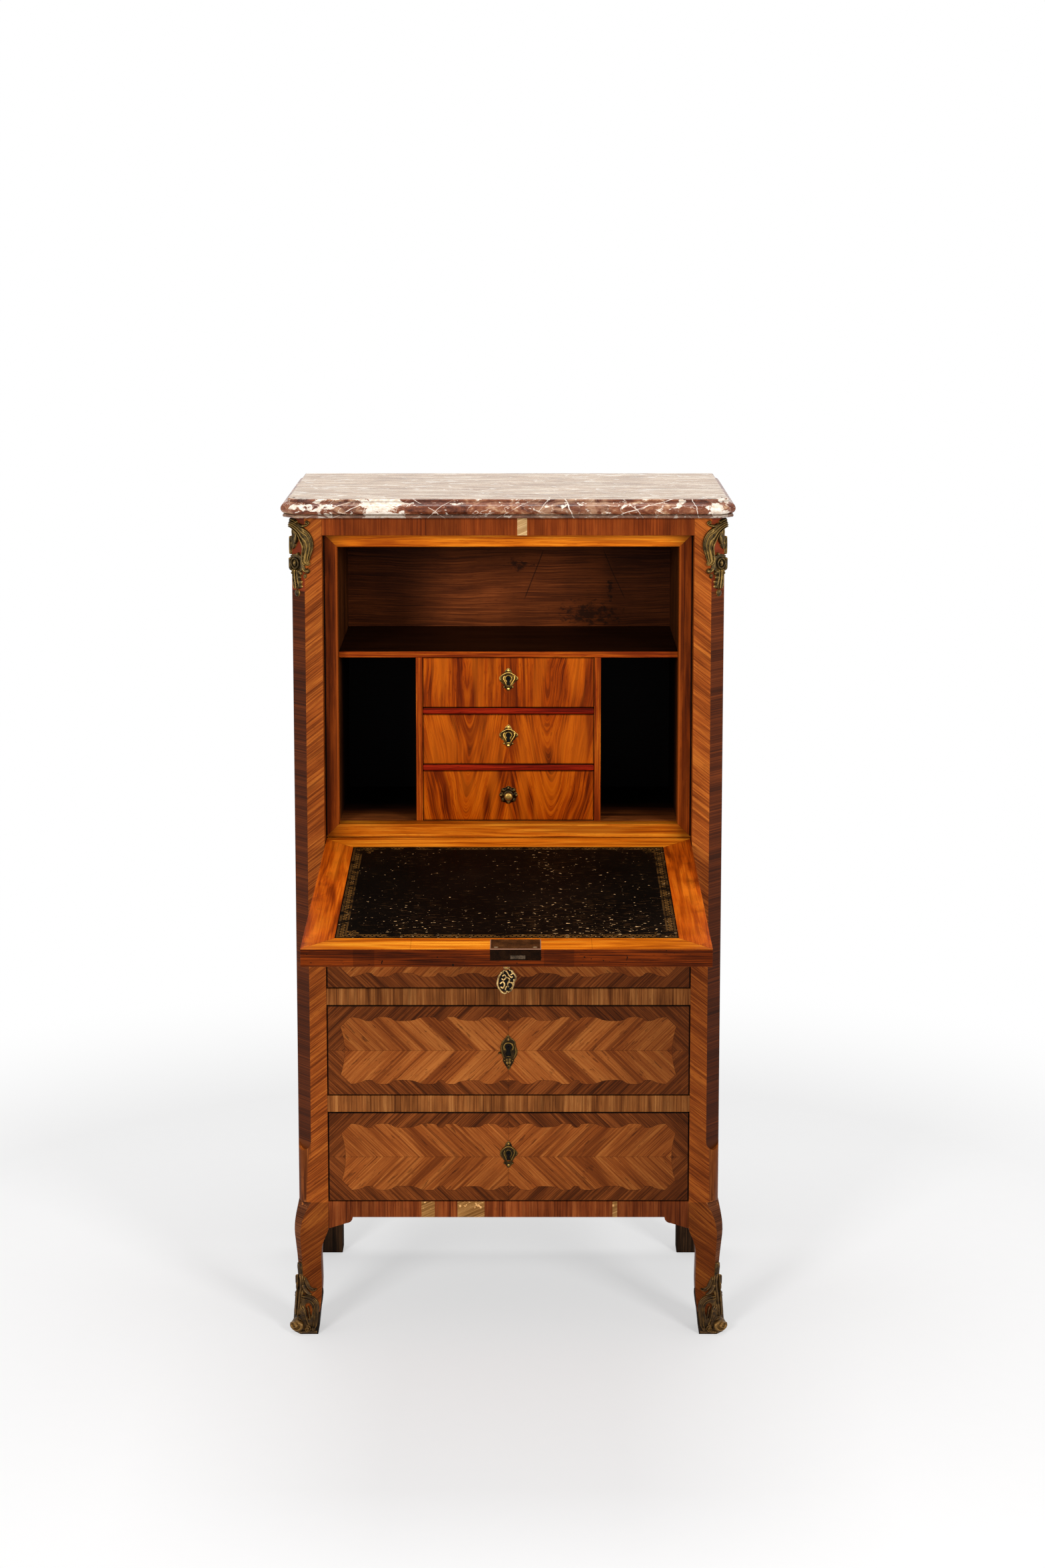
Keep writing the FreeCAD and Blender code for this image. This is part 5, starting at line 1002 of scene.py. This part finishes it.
def chased(name, dark, middle, bright, metallic=0.9, rough=0.24, crest=None):
    """Old gilt bronze: brown-green in the hollows, brassy on what stands proud, by the metal's own curve:
    rubbed gilt with a painted highlight.

    crest has the relief, in millimetres, where the rubbing and painted highlight begin and where they are
    fullest, and its strength.
    """
    cast = Finish(name)
    cloud = cast.mottle(130.0, 4.0, 0.6)
    fine = cast.mottle(800.0, 3.0)
    bent = Wire(cast.tree.nodes.new("ShaderNodeNewGeometry").outputs["Pointiness"])
    # Rubbed gilt and a painted highlight on what stands proud.
    worn_crest_and_highlight = (bent + (cloud - 0.5) * 0.09).over(0.515, 0.6)
    if crest:
        relief = cast.add("Attribute", "Fac", [("attribute_name", "relief")])
        worn_crest_and_highlight = worn_crest_and_highlight.most((relief + (cloud - 0.5) * (crest[0] * 0.6)).over(*crest[:2]) * crest[2])
    tint = cast.ramp(cloud * 0.75 + fine * 0.25, (0.36, dark), (0.62, middle))
    if crest:
        tint = cast.shade(tint, relief.over(0.2, crest[0]) * 0.6 + 0.4)
    tint = cast.mix(worn_crest_and_highlight, tint, bright)
    return cast.surface(tint, cloud * 0.3 + rough, cloud * 0.6 + fine * 0.4, 0.0004, 0.5, metallic)


bronze = chased("old gilt bronze", (26, 19, 8), (76, 57, 26), (196, 152, 72))

# Across is counted from the middle of the cant towards the front, up from the mount's top, in millimetres.
MOUNT_TOP = 1261.0
POST_CANT = 20.4
SWEEP = [(-17, -8, 4.6, 4), (-9.9, -9.7, 5, 4.4), (0.9, -13.5, 6.5, 4.8), (9.9, -18.7, 8, 5),
         (16.4, -26.4, 9, 5), (19.7, -34, 8.6, 5), (20.4, -42, 7.8, 5), (19, -49.7, 6.6, 4.8),
         (17.7, -57.4, 5.4, 4.4), (17.5, -63.8, 4, 4), (23, -67.7, 1.2, 3)]
DROP = [(-2.5, -75, 8.6, 4.4), (-2.5, -84, 9.4, 5.4), (-1.5, -92, 10.2, 5.8), (0, -99, 11.4, 5.6),
        (0.5, -105, 8, 4.4)]
mount = [
    scroll(SWEEP, count=90), rib(SWEEP, -0.84, 1.1, 6.2), rib(SWEEP, -0.3, 1.9, 6.4),
    rib(SWEEP, 0.26, 1.8, 6.2), rib(SWEEP, 0.78, 1.6, 5.6),
    scroll([(2.7, -7, 2, 4), (9, -9.7, 2.2, 5), (14, -9.6, 2, 5.4), (18.6, -8, 1.8, 5.4),
            (21.2, -5, 1.4, 5), (18.4, -2.6, 1.2, 5), (16, -4.6, 1, 5)]),
    scroll([(-20, -4, 2.4, 3.4), (-13, -2.6, 2.8, 4.2), (-6, -3.4, 2.6, 4.6), (0, -6, 2.2, 4.4)],
           ridges=2),
    scroll([(-9, -14, 3.6, 4), (-7, -23, 5.6, 4.8), (-6.5, -31, 7.6, 5.2), (-8, -38, 6.4, 5),
            (-10.5, -47, 1.6, 3)], 3, 3, 70),
    scroll([(-2.3, -19, 2, 5), (0.4, -26, 2.2, 5.8), (-0.6, -33, 2.2, 5.8), (-4.4, -38, 1.6, 5)]),
    scroll([(-15.5, -27, 2, 4), (-16, -42, 2.2, 4.4), (-15, -55, 2, 4)]),
    scroll([(13.5, -52, 4.4, 5.2), (11.5, -60, 4.2, 5.2), (11.5, -67.7, 3.6, 5), (13.4, -74, 3, 5),
            (17, -78, 2.4, 5)], ridges=2),
    scroll([(-15, -58, 2, 5), (-5, -55.6, 2.6, 5.6), (5, -56.2, 2.6, 5.4), (10, -60, 2.4, 5),
            (11.6, -67.7, 2.4, 4.8), (9.6, -74.6, 2.2, 4.6), (4.3, -78.6, 1.8, 4.4)], ridges=1, count=80),
    scroll([(-14, -59, 2, 5), (-16.6, -67.7, 2.2, 5), (-13.5, -76, 2, 4.8), (-7, -79, 1.8, 4.4)]),
    scroll(DROP, 4, 3, 80), rib(DROP, 0.0, 1.5, 6.6), rib(DROP, 0.5, 1.2, 5.8), rib(DROP, -0.5, 1.2, 5.8),
    ring(-3.4, -66.8, 8, 7.4, 1.5, 5), boss(-3.4, -66.8, 15, 11, 2.4), boss(-3.4, -66.8, 3.6, 5.8, 6.4),
    boss(18.2, -5.2, 2.2, 2.2, 6), boss(3, -52.6, 2.6, 2.6, 5.8), boss(18.8, -77, 4, 4.2, 6),
    boss(15.4, -84.6, 2.4, 4, 3.8), boss(8.5, -81, 2.2, 3, 4.6), boss(-11, -82, 2.2, 3, 4.4),
    boss(-1.5, -111.4, 5, 5.6, 4.2),
]
mount_bronze = chased("mount bronze", (36, 28, 12), (92, 71, 33), (182, 142, 70), 0.8, 0.28,
                      (4.6, 6.8, 0.42))
both_sides("corner_mount", mount, lambda grid: round_corner(grid, MOUNT_TOP, 0.0, POST_CANT),
           mount_bronze, "corner_mounts")

# Sabots: brown bronze shoes on the front feet. A stalk and a leaf climb the corner over a wound toe;
# a pierced shell with a scrolled eye clasps each side, and a sleeve and a fin close the inner faces.
# Across is counted from the corner, up from the floor; the leg's swelling is followed between its heights.
LEG_HEIGHTS = [0, 30, 60, 90, 122]
LEG_SWELL = [6.0, 3.9, 1.5, 0.8, 2.4]
LEG_CANT = [8.0, 7.4, 7.1, 6.9, 7.0]
LEG_INSET = [19.0, 16.3, 11.9, 11.0, 11.7]
POST_WIDE = 46.0
SHELL_EDGE = [(16, 58), (23, 53.5), (29, 47.5), (32, 41), (31.8, 33), (31.3, 22), (30.8, 10), (28.5, 1),
              (14, 0.4), (2, 0.4), (-1.5, 10), (-1.5, 24), (-1.5, 40), (0, 56), (7, 61)]
SHELL_EYE = [(13.5, 48.5), (18, 46.5), (21, 40), (21.2, 33), (19.5, 26.5), (16, 23.5), (12.5, 26),
             (10.5, 33), (9.6, 40), (10.4, 46)]
TOE_LEAF = [(7, 90, 2.6, 3.6), (9.5, 81, 3.8, 4.4), (13, 74, 4.2, 4.8), (18.5, 69.5, 3.4, 4.4),
            (23.5, 69.6, 1.8, 3), (26, 71.6, 0.8, 2)]
STEM = [(0.5, 95, 3.8, 4.2), (1.5, 84, 5.8, 5), (1, 72, 6.8, 5.4), (0, 61, 6.2, 5.6), (0, 49, 5.4, 5.8),
        (0, 38, 5, 6.2), (0, 26, 4.4, 6)]
CLASP = [(3, 58, 2.8, 4), (12, 57.4, 4.2, 5), (20, 54, 4.6, 5.4), (25.6, 47.5, 4.8, 5.4),
         (27.4, 37, 4.6, 5.2), (27.4, 26, 4.4, 5), (26.4, 14, 4, 4.8), (22.5, 6, 3, 4.2)]
wing = [
    plate(SHELL_EDGE, SHELL_EYE, 2.0), scroll(CLASP, ridges=1, count=70), rib(CLASP, 0.5, 1.1, 6),
    rib(CLASP, -0.5, 1.1, 6),
    scroll([(20, 10, 2.8, 4), (15.4, 19, 3, 5), (12, 28, 3, 5.4), (10, 36, 2.8, 5.2), (6, 45, 2.4, 4)],
           ridges=2),
    scroll([(19.4, 22, 1.4, 4), (17.4, 30, 1.8, 5), (15.6, 38, 1.6, 4.8), (13.4, 44, 1.2, 4)]),
    scroll([(2, 42, 3, 4.8), (6.5, 35, 3.2, 5.6), (10.5, 27, 3, 5.8), (13, 19, 2.4, 5)], ridges=1),
    scroll(TOE_LEAF, 2, 2), rib(TOE_LEAF, 0.0, 1.1, 5.8),
    scroll([(5, 78, 3.2, 4.4), (8, 69, 3.6, 4.8), (13, 63.5, 3.2, 4.6), (18.5, 61.5, 1.2, 3)], ridges=2),
    boss(16, 9.5, 6, 6.4, 6.4), volute(16, 9.5, 5, 1.4, 6.6), boss(24, 7, 4.2, 5, 5),
    scroll([(31, 3, 2.8, 3.6), (20, 3, 3, 4.2), (6, 3, 3, 5)]),
]
shoe = wing + [grid[:, ::-1] * np.array([-1, 1, 1]) for grid in wing] + [
    scroll([(0, 112, 3.6, 3.6), (0, 105, 4.4, 4.2), (0.2, 98, 4.2, 4.2), (0.5, 90, 4.4, 4.4)]),
    boss(0, 108.6, 2.4, 2.4, 5),
    scroll(STEM, 3, 1, 80), rib(STEM, 0.45, 1.2, 6.6), rib(STEM, -0.45, 1.2, 6.6),
    boss(0, 13.4, 9.6, 12, 8.4), volute(0, 13.4, 8.6, 2.3, 9.4),
]


def on_leg(grid):
    """Bends flat work round the leg, whose swelling and cant change with its height."""
    swell, cant = (np.interp(grid[..., 1], LEG_HEIGHTS, sizes) for sizes in (LEG_SWELL, LEG_CANT))
    return round_corner(grid, 0.0, swell, cant)


def leg_section(height, wall):
    """Corners of the left leg's section at a height, grown by a wall, from the front round to the cant."""
    swell, cant, inset = (np.interp(height, LEG_HEIGHTS, sizes)
                          for sizes in (LEG_SWELL, LEG_CANT, LEG_INSET))
    outer = -HALF_WIDTH * 1000 - swell
    front = FRONT_Y * 1000 - swell
    inner = -HALF_WIDTH * 1000 + POST_WIDE - inset + wall
    rear = FRONT_Y * 1000 + POST_WIDE - inset + wall
    return np.array([(outer + cant, front - wall), (inner, front - wall), (inner, rear),
                     (outer - wall, rear), (outer - wall, front + cant), (outer + cant, front - wall)])


# The sleeve's top is low under the eyes of the shells and higher on the two inner faces.
round_leg = np.linspace(0, 5, 51)
sleeve_top = np.interp(round_leg, [0, 0.75, 1, 2, 3, 3.25, 4, 5], [20, 20, 34, 36, 34, 20, 20, 20])
sleeve = []
for share, wall in ((0, 2), (0.5, 2.2), (0.94, 2.2), (1, 1.6), (1, 0), (0, 0), (0, 2)):
    row = [leg_section(share * top, wall) for top in sleeve_top]
    sleeve.append([[np.interp(place, range(6), corners[:, 0]),
                    np.interp(place, range(6), corners[:, 1]), share * top]
                   for place, corners, top in zip(round_leg, row, sleeve_top)])
fin = scroll([(13, 28, 6, 2.2), (13, 42, 8.5, 2.8), (12, 55, 7, 2.6), (11, 68, 2, 1.8)], ridges=2)
fin_x = POST_WIDE - np.interp(fin[..., 1], LEG_HEIGHTS, LEG_INSET) - HALF_WIDTH * 1000
fin_y = FRONT_Y * 1000 - np.interp(fin[..., 1], LEG_HEIGHTS, LEG_SWELL)
linings = [np.array(sleeve) / 1000,
           np.stack([fin_x + fin[..., 2], fin_y + fin[..., 0], fin[..., 1]], axis=-1) / 1000]
shoe_bronze = chased("sabot bronze", (28, 18, 7), (84, 57, 22), (150, 110, 52), 0.7, 0.32,
                     (4.6, 9.0, 0.5))
both_sides("sabot", shoe, on_leg, shoe_bronze, "sabots")
both_sides("sabot_lining", linings, np.array,
           metal("sabot black", (16, 10, 6), (30, 20, 12), (52, 36, 22), 0.5))

# Escutcheons: shields with scrolled rims on the large drawers and the fall, hearts on the small drawers.
# Each is pinned over its keyhole; a black lining with the lock's pin stands behind the opening, painted
# shade for the inside of the keyhole.
SHIELD_EDGE = [(-0.4, 19.2), (2.9, 15.5), (8.6, 10.6), (11, 6.1), (10.8, 1.4), (13.9, -5.7),
               (12.2, -13.9), (8.8, -19.4), (7.7, -23.6), (4.1, -30.2), (0.4, -35.9), (-3.7, -30.2),
               (-8.4, -22), (-7.9, -17.1), (-10.2, -11.4), (-11.9, -5.7), (-11.8, 2.4), (-9, 9),
               (-4.5, 14.7)]
SHIELD_HOLE = [(0, 5.3), (3.7, 3.7), (5.3, 0), (3.9, -3.6), (3.2, -6), (3.6, -13.6), (0, -14),
               (-3.6, -13.6), (-3.2, -6), (-3.9, -3.6), (-5.3, 0), (-3.7, 3.7)]
HEART_EDGE = [(0, 16.3), (3.6, 13.5), (5.4, 10.2), (7.6, 7.2), (13.1, 3.4), (14.8, 0), (11.5, -4),
              (7.6, -8.7), (6, -11.1), (8, -13.3), (4.8, -15.2), (1.4, -18.6), (-1.8, -18.4),
              (-4.4, -15.2), (-8, -13), (-6, -10.6), (-9.9, -6.4), (-13.5, -2.4), (-13.5, 2.4),
              (-9.9, 6.6), (-6, 9.1), (-4.8, 12.7)]
HEART_HOLE = [(0, 3.9), (2.7, 2.7), (3.9, 0), (2.9, -2.6), (2.1, -4.6), (2.6, -10), (0, -10.4),
              (-2.6, -10), (-2.1, -4.6), (-2.9, -2.6), (-3.9, 0), (-2.7, 2.7)]
shield = [
    plate(SHIELD_EDGE, SHIELD_HOLE, 1.7), arch(7.2, 1.3, 3.2), boss(-13.4, -9.4, 2, 2, 2.6),
    scroll([(9, 7, 1.4, 2.6), (10.6, -2, 1.6, 3), (11.4, -8, 1.8, 3.2), (9, -15, 1.6, 3),
            (6, -19, 1, 2.4)], ridges=2),
    scroll([(-8.6, 8, 1.2, 2.6), (-10.2, 0, 1.4, 3), (-9.8, -8, 1.5, 3), (-7.2, -15, 1.4, 2.8),
            (-5, -18, 1, 2.4)], ridges=2),
    scroll([(0, -16.4, 5, 2.8), (0, -22, 6, 3.2), (0.2, -28, 4.4, 3.2), (0.4, -35, 0.8, 2)], 3, 3),
    scroll([(0, 9, 5, 2.6), (-0.2, 13.6, 3.6, 3), (-0.4, 18.6, 0.8, 2)], 2, 2),
    boss(0.5, -28.6, 1.8, 1.8, 4), boss(-0.3, 14.6, 1.6, 1.6, 3.8), boss(6.2, -21, 1.6, 1.6, 3),
    boss(-6, -20.6, 1.6, 1.6, 3),
]
heart = [
    plate(HEART_EDGE, HEART_HOLE, 1.7), arch(5.1, 0.9, 2.7),
    scroll([(-5.4, 5, 0.9, 2.8), (-7.4, 0.6, 1.1, 3.4), (-5, -4.4, 1, 3.2), (-2.9, -10, 0.8, 2.6)]),
    scroll([(8.4, 5, 0.9, 2.8), (9.4, 0.6, 1.1, 3.4), (6.2, -5.4, 1, 3.2), (3, -10.6, 0.8, 2.6)]),
    scroll([(-12.6, 1.4, 0.8, 2.4), (-9.4, 5.6, 1, 2.8), (-4, 8.6, 1, 3), (0, 9.4, 1.2, 3),
            (4, 8.6, 1, 3), (9.4, 5.4, 1, 2.8), (13.4, 1, 0.8, 2.4)]),
    boss(0, 12.8, 3, 2.8, 3.4), boss(0, -15.4, 3, 2.8, 3.4), boss(-6.6, -12.6, 1.6, 1.6, 2.8),
    boss(6.6, -12.8, 1.6, 1.6, 2.8), boss(-12.2, -1, 1.4, 2.4, 2.6), boss(13, -1, 1.4, 2.4, 2.6),
]
tall_heart = [grid * np.array([0.93, 1.2, 1.0]) for grid in heart]
NEST_FRONT_Y = 0.114
shield_bronze = chased("shield bronze", (16, 11, 5), (58, 42, 18), (132, 102, 47), crest=(2.1, 3.1, 1.0))
bright_bronze = chased("bright bronze", (30, 19, 6), (92, 62, 20), (250, 206, 104), crest=(2.1, 3.1, 1.0))
# keyhole black is painted shade in the keyholes and in the key bow's openwork, and the black steel of the
# key's stem and bit.
black = metal("keyhole black", (6, 4, 3), (12, 9, 7), (26, 20, 15), 0.5)


def lining(hole):
    """The dark ground in a keyhole, painted shade for the hole: rules from its middle to just beyond its
    loop, and back on top.
    """
    loop = curve(hole, 64, closed=True)
    share = np.array([0, 1.03, 1.03, 0.5, 0])[:, None, None]
    return raised(loop[None, ::-1] * share, [0, 0, 0.25, 0.25, 0.25])


def escutcheon(drawer, node, work, hole, pin, face_y, keyhole_z, finish):
    """A plate on a drawer's front, and in its keyhole a black ground of painted shade with the lock's pin.
    """
    metalwork = [skin(on_front(grid, face_y, keyhole_z), True, grid[..., 2]) for grid in work]
    piece(drawer + "_plate", metalwork, drawer, "bronze", finish, drawer + node)
    ground = lining(hole), boss(0, 0, pin, pin, pin + 0.4)
    piece(drawer + "_keyhole", [skin(on_front(grid, face_y, keyhole_z), True) for grid in ground],
          drawer, "bronze", black)


for tag, work, hole, keyhole_z in (("top", shield, SHIELD_HOLE, 0.6225),
                                   ("middle", shield, SHIELD_HOLE, 0.4545),
                                   ("bottom", tall_heart, HEART_HOLE, 0.2865)):
    escutcheon(tag + "_drawer", "_escutcheon", work, hole, 1.2, FRONT_Y, keyhole_z, shield_bronze)


def box_skin(low, high):
    """A plain block between two corners, for lock cases and the key's bit."""
    x, y, z = np.meshgrid(*zip(low, high), indexing="ij")
    faces = np.array([[0, 1, 3, 2], [4, 6, 7, 5], [0, 4, 5, 1], [2, 3, 7, 6], [0, 2, 6, 4], [1, 5, 7, 3]])
    return np.stack([x, y, z], axis=-1).reshape(-1, 3), faces, np.zeros(8)


CASE_DEEP = 0.005
CASE_DOWN = 0.009
BOLT_PLAY = 0.0003
for tag, keyhole_z in (("upper", 1.0129), ("middle", 0.92595)):
    drawer = "nest_%s_drawer" % tag
    escutcheon(drawer, "_lock", heart, HEART_HOLE, 1, NEST_FRONT_Y, keyhole_z, bright_bronze)
    low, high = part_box(drawer + "_lock")
    bolt_low, bolt_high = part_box(drawer + "_bolt")
    back, front, sill = high[1], high[1] - CASE_DEEP, keyhole_z - CASE_DOWN
    left, right = bolt_low[0] - BOLT_PLAY, bolt_high[0] + BOLT_PLAY
    piece(drawer + "_lock_case", [
        box_skin((low[0], front, sill), (left, back, high[2])),
        box_skin((right, front, sill), (high[0], back, high[2])),
        box_skin((left, front, sill), (right, back, bolt_low[2] - 0.0005)),
    ], drawer, "brass", brown_brass)

# The lowest small drawer's knob: a turned button on a rosette with eight petals.
# KNOB_PROFILE has (radius, height, share by which the petals swell the radius), in millimetres.
PETALS = 8
KNOB_Z = 0.8335
KNOB_PROFILE = np.array([(0, 0, 0.06), (12, 0, 0.06), (13, 0.4, 0.06), (13, 1, 0.06), (11.6, 2.2, 0.07),
                         (9.4, 2.7, 0.05), (7.6, 2.1, 0.02), (5.6, 3, 0), (3.8, 5, 0), (3.6, 8, 0),
                         (4.6, 9, 0), (6, 10.3, 0), (6.1, 11.8, 0), (5, 13.2, 0), (2.5, 14, 0),
                         (0, 14, 0)])
turn = np.linspace(0, 2 * pi, 97)[None, :]
radius, height, wave = (column[:, None] for column in curve(KNOB_PROFILE, 60).T)
spread_out = radius * (1 + wave * np.cos(PETALS * turn))
petals = np.stack([spread_out * np.cos(turn), spread_out * np.sin(turn),
                   height * (1 + 4 * wave * np.cos(PETALS * turn))], axis=-1)
knob_bronze = chased("knob bronze", (26, 18, 7), (84, 60, 24), (226, 178, 88), crest=(8.0, 13.6, 0.4))
piece("nest_lower_drawer_rosette", [skin(on_front(petals, NEST_FRONT_Y, KNOB_Z), False, petals[..., 2])],
      "nest_lower_drawer", "bronze", knob_bronze, "nest_lower_drawer_knob")

# Key: a steel stem with a collar, its bit in the lock, and an openwork gilt bow hanging under the fall.
# Across is x, up runs towards the lock from the bow's collar, height towards the fall's free edge.
KEY_REACH = 0.4538
KEY_OUT = 0.0225
outward = np.array([0, sin(SAG), -cos(SAG)])
forward = np.array([0, -cos(SAG), -sin(SAG)])
key_foot = np.array([0, PIVOT_Y, PIVOT_Z]) + forward * KEY_REACH + outward * KEY_OUT


def laid(points, foot, upward, worn_crest_and_highlight):
    """Places flat work from a foot: across along x, and up and height along two given ways."""
    across, up, height = points[..., :1], points[..., 1:2], points[..., 2:]
    return foot + (across * np.array([1, 0, 0]) + up * upward + height * worn_crest_and_highlight) / 1000


def on_key(points):
    """Places flat work in the plane of the key's bow."""
    return laid(points, key_foot, -outward, forward)


def bar(path, count=56):
    """A round bar: an ellipse carried along a flat curve of (across, up, half width, half thickness)."""
    across, up, half, thick = curve(path, count).T
    half, thick = half * round_ends(count), thick * round_ends(count)
    turn = np.linspace(0, 2 * pi, 15)
    return swept(across, up, half[:, None] * np.cos(turn), thick[:, None] * np.sin(turn))


BOW_CURLS = [[(6.1, -4), (11.3, -10), (11.7, -16), (8.3, -21)],
             [(3.1, -2.5), (7, -3.4), (8.3, -7), (5.2, -9.5)],
             [(-3, -2), (-4.6, -4.6), (-9.2, -10), (-11.3, -16), (-12.3, -22.4), (-10.7, -28)],
             [(-11, -27), (-9.2, -30), (-6.1, -34), (-1.5, -35.3), (0.9, -31.6)],
             [(-3, -16), (0, -13), (4, -16), (1.5, -22.4), (3, -27)],
             [(-6, -11.7), (-3, -9.5), (-0.9, -13), (-4, -16.3), (-7, -14.7)],
             [(3, -19.3), (7, -20.9), (8.3, -25.5), (4, -30)],
             [(-9.2, -22.4), (-5.2, -19.3), (-2.8, -23), (-5.2, -28), (-8.3, -26)],
             [(10, -15), (8.9, -24), (6, -31), (1.5, -34)],
             [(-1.5, -3), (1, -6), (3, -10), (6.4, -13), (8, -11.4)],
             [(-1.6, -31), (-1.2, -28), (0.6, -25)], [(-8, -7), (-6, -5.6), (-4, -7)]]
BOW_RIM = [(0, -1), (7, -3), (11.4, -9.5), (11.6, -16), (9.4, -24), (6.4, -31), (0.6, -35),
           (-5.8, -34.2), (-10.4, -29), (-12, -22), (-10.6, -14), (-7, -6.4)]
bow = [bar([(across, up, 1.3, 1.8) for across, up in curl], 40) for curl in BOW_CURLS]
bow.append(bar([(0, 4, 3.1, 3.1), (0, 2.6, 4.3, 4.3), (0, 0.4, 4.3, 4.3), (0, -1, 2.6, 2.6)]))
gilt_key = chased("gilt key", (66, 46, 20), (168, 126, 66), (250, 218, 150))
piece("key_bow", [skin(on_key(grid)) for grid in bow], "key", "bronze", gilt_key, "key")
# The bow's ground is a thin black web inside its rim, painted shade seen through the openwork; stem and
# bit are black steel.
rim = curve(BOW_RIM, 72, closed=True)
web_middle = rim.mean(axis=0)
openwork_shade = np.stack([web_middle + (rim - web_middle) * share for share in (0, 0.88, 0.88, 0)])
openwork_shade = raised(openwork_shade, [-0.4, -0.4, 0.4, 0.4])[:, ::-1]
bit = box_skin((-1.2, 27, 0), (1.2, 31, 9))
piece("key_stem", [skin(on_key(bar([(0, 31.6, 3, 3), (0, 12, 3, 3), (0, -1, 3, 3)]))),
                   skin(on_key(openwork_shade), around=True),
                   (on_key(bit[0]), *bit[1:])], "key", "bronze", black)

# The fall's outer escutcheon lies round the keyhole, and its up runs to the free edge.
outer_foot = np.array([0, PIVOT_Y, PIVOT_Z]) + forward * KEY_REACH + outward * FALL_HALF_THICK
round_hole = [(3.4 * sin(k * pi / 6), 3.4 * cos(k * pi / 6)) for k in range(12)]
outer_shield = [plate([(x * 0.98, (z + 8) * 0.88) for x, z in SHIELD_EDGE], round_hole, 1.7)]
outer_shield += [grid * np.array([0.98, 0.88, 0.8]) + np.array([0, 7, 0]) for grid in shield[2:]]
outer_shield.append(ring(0, 0, 5, 5, 1.2, 2.8))
piece("fall_outer_plate", [skin(laid(grid, outer_foot, forward, outward), True) for grid in outer_shield],
      "fall", "bronze", bronze, "fall_escutcheon")

# Floor, lights and camera: a plain pale studio with soft light from both sides in front and from above.
# The floor keeps the shadow under the part and fades to white away from it.
FLOOR = 40
TILT = 7.78
floor_mesh = bpy.data.meshes.new("studio_floor")
floor_corners = [(-FLOOR, -FLOOR, 0), (FLOOR, -FLOOR, 0), (FLOOR, FLOOR, 0), (-FLOOR, FLOOR, 0)]
floor_mesh.from_pydata(floor_corners, [], [(0, 1, 2, 3)])
studio_floor = bpy.data.objects.new("studio_floor", floor_mesh)
bpy.context.scene.collection.objects.link(studio_floor)
ground = Finish("studio floor")
distance = ground.x.reach(ground.y)
speckle = ground.noise(ground.x * 30.0, ground.y * 30.0, 0.0, 3.0)
ground.surface(ground.shade((0.9, 0.9, 0.9), speckle * 0.02 + 0.99), 0.9, gloss=0.0)
backdrop = ground.add("Emission", Color=(1.0, 1.0, 1.0, 1.0), Strength=1.0)
looked_at = Wire(ground.tree.nodes.new("ShaderNodeLightPath").outputs["Is Camera Ray"])
blend = ground.tree.nodes.new("ShaderNodeMixShader")
put(blend.inputs[0], distance.over(0.6, 1.9).most(looked_at * 0.45))
ground.tree.links.new(ground.shader.outputs[0], blend.inputs[1])
put(blend.inputs[2], backdrop)
ground.tree.links.new(blend.outputs[0], ground.tree.nodes["Material Output"].inputs["Surface"])
floor_mesh.materials.append(ground.material)

scene = bpy.context.scene
scene.view_settings.view_transform = "Standard"
world = bpy.data.worlds.new("studio")
scene.world = world
world.use_nodes = True
sky = world.node_tree
soft_light = sky.nodes["Background"]
soft_light.inputs["Color"].default_value = (1.0, 1.0, 1.0, 1.0)
soft_light.inputs["Strength"].default_value = 0.42
white = sky.nodes.new("ShaderNodeBackground")
white.inputs["Color"].default_value = (1.0, 1.0, 1.0, 1.0)
path = sky.nodes.new("ShaderNodeLightPath")
seen = Wire(path.outputs["Is Camera Ray"]).most(Wire(path.outputs["Is Glossy Ray"])).most(
    Wire(path.outputs["Is Transmission Ray"]))
choice = sky.nodes.new("ShaderNodeMixShader")
put(choice.inputs[0], seen)
sky.links.new(soft_light.outputs[0], choice.inputs[1])
sky.links.new(white.outputs[0], choice.inputs[2])
sky.links.new(choice.outputs[0], sky.nodes["World Output"].inputs["Surface"])

for name, place, turn, wide, watts in (
    ("left_light", (-2.04, -3.6, 2.26), (70.3, 0, -28.9), 1.0, 84.0),
    ("right_light", (2.5, -3.3, 2.26), (70.3, 0, 36.3), 1.0, 84.0),
    ("top_light", (0.0, 0.4, 3.6), (8, 0, 0), 1.4, 45.0),
):
    lamp = bpy.data.lights.new(name, "AREA")
    lamp.size = wide
    lamp.energy = watts
    light = bpy.data.objects.new(name, lamp)
    light.location = place
    light.rotation_euler = [radians(angle) for angle in turn]
    scene.collection.objects.link(light)

camera_data = bpy.data.cameras.new("camera")
camera_data.lens = 61.22
camera_data.sensor_width = 36.0
camera_data.shift_y = -0.1584
camera = bpy.data.objects.new("camera", camera_data)
camera.location = (0.0213, -3.8354, 1.7697)
camera.rotation_euler = (radians(90 - TILT), 0, 0)
scene.collection.objects.link(camera)
scene.camera = camera
